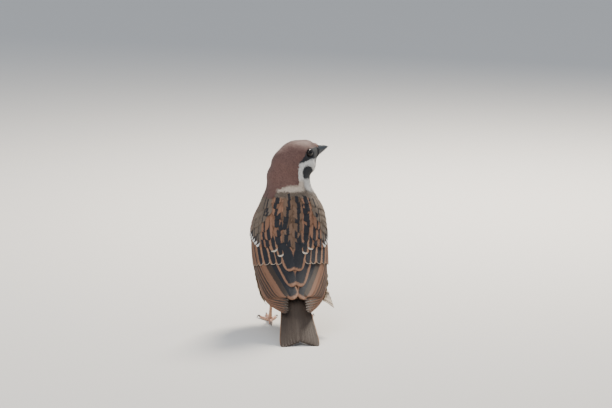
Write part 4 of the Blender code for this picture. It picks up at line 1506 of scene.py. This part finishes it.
def bill_rings(upper):
    """Half of the bill: an arched cone over a flat cutting edge, with nostrils in the upper half."""
    rows, around = 72, 41
    sign, depth_share = (1, UPPER_BILL) if upper else (-1, LOWER_BILL)
    length = (BILL_LENGTH if upper else BILL_LENGTH - 0.6) + SKULL_LENGTH - BILL_ROOT
    share = np.linspace(0, 1, rows)[:, None]
    turn = np.linspace(0, math.pi, around)[None, :]
    blunt = np.sqrt(np.clip(1 - share**14, 0, 1))
    ridge = 0.95 + 0.05 * np.exp(-(((turn - math.pi / 2) / 0.22) ** 2))
    deep, wide = bill_taper(share)
    depth = BILL_DEPTH * depth_share * deep * ridge * blunt
    half = BILL_WIDTH / 2 * wide * blunt
    edge = mixed(-BILL_DROP, BILL_TIP_RISE, share) - 0.2 * np.sin(math.pi * share) + sign * 0.07 - EDGE_SINK
    x = BILL_ROOT + length * share + 0 * turn
    nostril = 0.0
    for middle in NOSTRILS if upper else ():
        off_middle = (turn / math.pi - middle) / 0.045
        nostril = nostril + np.exp(-(((x - NOSTRIL_AHEAD) / 0.55) ** 2) - off_middle**2)
    y = half * np.cos(turn) * (1 - 0.2 * nostril)
    z = edge + sign * depth * np.sin(turn) ** 0.85 * (1 - 0.16 * nostril)
    # The third number marks the nostrils, which the horn material paints near-black as painted shade.
    return from_head(stacked(x, y, z)), stacked(x, turn * 3.0, nostril)


def eye_rings(side):
    """The eyeball with a slightly domed front, its pole on the line of sight."""
    polar = np.linspace(0.02, math.pi - 0.02, 40)[:, None]
    dome = EYE_RADIUS * (1 + 0.035 * np.exp(-((polar / 0.75) ** 2)))
    turn = turns(56)
    across = dome * np.sin(polar)
    local = stacked(across * np.cos(turn), side * dome * np.cos(polar), across * np.sin(turn))
    rings = from_head(local + (EYE_AHEAD, side * EYE_OUT, EYE_UP))
    return rings, stacked(polar, np.cos(turn), np.sin(turn))


def bristle_feathers():
    """Short feathers round the root of the bill that lie forward over it."""
    vanes = Vanes()
    count = 46
    for row, (start, reach) in enumerate(((11.6, 2.6), (11.2, 2.1))):
        for k in range(count):
            turn = 2 * math.pi * (k + 0.5 * row + 0.3 * rng.random()) / count
            upper = math.sin(turn) > 0
            depth_share = UPPER_BILL if upper else LOWER_BILL
            length = reach * (0.8 + 0.4 * rng.random()) * (1.15 if upper else 0.8)

            def place(along, across, height, turn=turn, start=start, length=length, depth_share=depth_share):
                x = start + length * along
                deep, wide = bill_taper((x - BILL_ROOT) / (BILL_LENGTH + SKULL_LENGTH - BILL_ROOT))
                out = 0.30 - 0.12 * along + height
                half = BILL_WIDTH / 2 * wide + out
                depth = BILL_DEPTH * depth_share * deep + out
                swing = turn + across / 4.2
                y = half * np.cos(swing)
                z = -BILL_DROP - EDGE_SINK + depth * np.sign(np.sin(swing)) * np.abs(np.sin(swing)) ** 0.85
                return from_head(stacked(x, y, z))

            rise = 6.4 * math.sin(turn) if math.sin(turn) > 0.2 else 0
            tint = plumage(from_head([(11.4, 4.0 * math.cos(turn), rise)]))[0]
            vanes.add(place, length, 0.34, (tint, tint, tint), (2, 2, 2), rows=7, lanes=4, thickness=0.04,
                      taper=(0.8, 0.3, 1.6), fray=0.1)
    vanes.finish("feathers_bill_root", vane_material("short bristles", 0.7), (), "chestnut")


def leg_material():
    """Flesh-brown scaled skin: darker in the joints between plates, paler under the toes."""
    nodes = Finish("scaled leg skin", 0.46, 0.4)
    plate, _, upper = nodes.parts("spot")
    place = nodes.place()
    patchy = nodes.ramp(nodes.noise(place, 450.0, 3.0), 0.35, 0.7)
    grain = nodes.noise(place, 3800.0)
    colour = nodes.mix(patchy, (0.34, 0.165, 0.105), (0.44, 0.235, 0.160))
    colour = nodes.mix(nodes.ramp(upper, 0.5, 0.0), colour, (0.47, 0.27, 0.175))
    off_middle = nodes.math("ABSOLUTE", nodes.math("SUBTRACT", plate, 0.5))
    joint = nodes.math("MULTIPLY", nodes.ramp(off_middle, 0.36, 0.5), upper)
    nodes.set("Base Color", nodes.mix(nodes.math("MULTIPLY", joint, 0.55), colour, (0.14, 0.060, 0.040)))
    nodes.bump(nodes.math("MULTIPLY_ADD", grain, 0.5, nodes.math("MULTIPLY", joint, -1.0)), 0.45, 0.00008)
    nodes.set("Roughness", nodes.math("MULTIPLY_ADD", grain, 0.3, 0.32))
    return nodes.made


def horn_material(name, dark, pale, roughness=0.34):
    """Worn horn: fine lines along its length, and a little paler where light patches show."""
    nodes = Finish(name, roughness, 0.45)
    along, across, hole = nodes.parts("spot")
    lines = nodes.noise(nodes.joined(nodes.math("MULTIPLY", along, 0.12), across), 7.0, 3.0)
    patchy = nodes.ramp(nodes.noise(nodes.place(), 380.0), 0.3, 0.75)
    share = nodes.math("MULTIPLY_ADD", lines, 0.5, nodes.math("MULTIPLY", patchy, 0.45))
    colour = nodes.mix(share, dark, pale)
    # The nostrils are painted near-black: painted shade in their openings.
    nodes.set("Base Color", nodes.mix(nodes.ramp(hole, 0.35, 0.8), colour, (0.006, 0.006, 0.007)))
    nodes.bump(lines, 0.3, 0.00005)
    nodes.set("Roughness", nodes.math("MULTIPLY_ADD", lines, 0.25, roughness - 0.12))
    return nodes.made


def eye_material():
    """A wet dark eye: black pupil, very dark brown iris with fine spokes, black outside it."""
    nodes = Finish("wet eye", 0.05, 0.25)
    polar, east, north = nodes.parts("spot")
    spokes = nodes.noise(nodes.joined(east, north), 14.0)
    iris = nodes.mix(spokes, (0.004, 0.002, 0.002), (0.014, 0.007, 0.005))
    colour = nodes.mix(nodes.ramp(polar, 0.50, 0.54), (0.002,) * 3, iris)
    nodes.set("Base Color", nodes.mix(nodes.ramp(polar, 0.84, 0.92), colour, (0.004, 0.003, 0.003)))
    return nodes.made


def make_bare_parts():
    """Everything without feathers."""
    bill_horn = horn_material("bill horn", (0.016, 0.019, 0.023), (0.052, 0.059, 0.068))
    claw_horn = horn_material("claw horn", (0.030, 0.020, 0.015), (0.120, 0.080, 0.058), 0.3)
    leg_skin, wet_eye = leg_material(), eye_material()
    bristle_feathers()
    for upper, name in ((True, "upper"), (False, "lower")):
        half = Solid()
        half.add(*bill_rings(upper))
        half.finish(f"bill_{name}_horn", bill_horn, (f"bill_{name}",), "horn")
    for side, name in SIDES:
        ball = Solid()
        ball.add(*eye_rings(side))
        ball.finish(f"eyeball_{name}", wet_eye, (f"eye_{name}",), "eye")
        leg, claws = Solid(), Solid()
        for rings in (tarsus_rings(), knuckle_rings(), *map(toe_rings, TOES)):
            leg.add(*rings)
        leg.finish(f"leg_{name}", leg_skin, (f"tarsus_{name}", f"foot_{name}"), "leg", side)
        for toe in TOES:
            claws.add(*claw_rings(toe))
        claws.finish(f"claws_{name}", claw_horn, [f"claw_{name}_{toe}" for toe in TOES], "horn", side)


def build():
    skin, working = make_skin()
    surface = SkinSurface(skin, working)
    make_coat(surface, working)
    make_vanes()
    make_bare_parts()


# ---------------------------------------------------------------- stage

FLOOR = 12.0  # half the floor's width, in metres
LIGHTS_AIM = 0.055  # the height that the lights are aimed at, in metres


def make_stage():
    mesh = bpy.data.meshes.new("floor")
    corners = [(-FLOOR, -FLOOR, 0), (FLOOR, -FLOOR, 0), (FLOOR, FLOOR, 0), (-FLOOR, FLOOR, 0)]
    mesh.from_pydata(corners, [], [(0, 1, 2, 3)])
    finish = Finish("pale floor", 0.9, 0.1)
    finish.set("Base Color", (0.62, 0.60, 0.57, 1))
    mesh.materials.append(finish.made)
    floor = in_scene("floor", mesh)

    world = bpy.data.worlds.new("studio")
    world.use_nodes = True
    world.node_tree.nodes["Background"].inputs["Color"].default_value = (0.80, 0.88, 1.0, 1)
    world.node_tree.nodes["Background"].inputs["Strength"].default_value = 0.75
    bpy.context.scene.world = world


def way_to(azimuth, elevation):
    """The way from the bird to a light or camera. Azimuth 0 stands ahead of the bird."""
    a, e = math.radians(azimuth), math.radians(elevation)
    return Vector((math.sin(a) * math.cos(e), -math.cos(a) * math.cos(e), math.sin(e)))


def area_light(name, azimuth, elevation, distance, size, watts, colour):
    """A square soft light aimed at the bird's middle."""
    light = bpy.data.lights.new(name, "AREA")
    light.size, light.energy, light.color = size, watts, colour
    lamp, way = in_scene(name, light), way_to(azimuth, elevation)
    lamp.location = Vector((0, 0, LIGHTS_AIM)) + way * distance
    lamp.rotation_euler = way.to_track_quat("Z", "Y").to_euler()


def make_lights():
    area_light("main soft light", 148, 46, 0.9, 0.7, 5.0, (1.0, 0.98, 0.96))
    area_light("rim light", 332, 44, 0.8, 0.2, 17.0, (1.0, 0.92, 0.80))
    area_light("edge light", 290, 40, 0.9, 0.3, 0.5, (1.0, 0.95, 0.86))


# The camera: seen from behind and a little above, with a long lens.
VIEW_AZIMUTH_DEG, VIEW_ELEVATION_DEG = 174.0, 10.0
VIEW_LENS, VIEW_SENSOR = 200.0, 36.0
FRAME_WIDTH = 0.354  # how wide the picture is at the bird, in metres
FRAME_HEIGHT = FRAME_WIDTH * 2 / 3
CROWN_BELOW_TOP = 0.0808  # the crown's distance from the picture's upper edge
NECK_LEFT_OF_MIDDLE = 0.0088


def make_camera():
    camera = in_scene("camera", bpy.data.cameras.new("camera"))
    camera.data.lens, camera.data.sensor_width = VIEW_LENS, VIEW_SENSOR
    bpy.context.scene.camera = camera
    back = way_to(VIEW_AZIMUTH_DEG, VIEW_ELEVATION_DEG)
    turn = back.to_track_quat("Z", "Y")
    right, up = turn @ Vector((1, 0, 0)), turn @ Vector((0, 1, 0))
    crown = Vector(placed([(*HEAD_MIDDLE[:2], 0)])[0])
    crown.z = cad_box[1][2]
    neck = sum((Vector(corner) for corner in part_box("neck")), Vector()) / 2
    aim = right * (neck.dot(right) + NECK_LEFT_OF_MIDDLE)
    aim += up * (crown.dot(up) + CROWN_BELOW_TOP - FRAME_HEIGHT / 2)
    camera.rotation_mode = "QUATERNION"
    camera.rotation_quaternion = turn
    camera.location = aim + back * (FRAME_WIDTH * VIEW_LENS / VIEW_SENSOR)
    camera.data.clip_start, camera.data.clip_end = 0.1, 20


make_stage()
make_lights()
make_camera()
build()
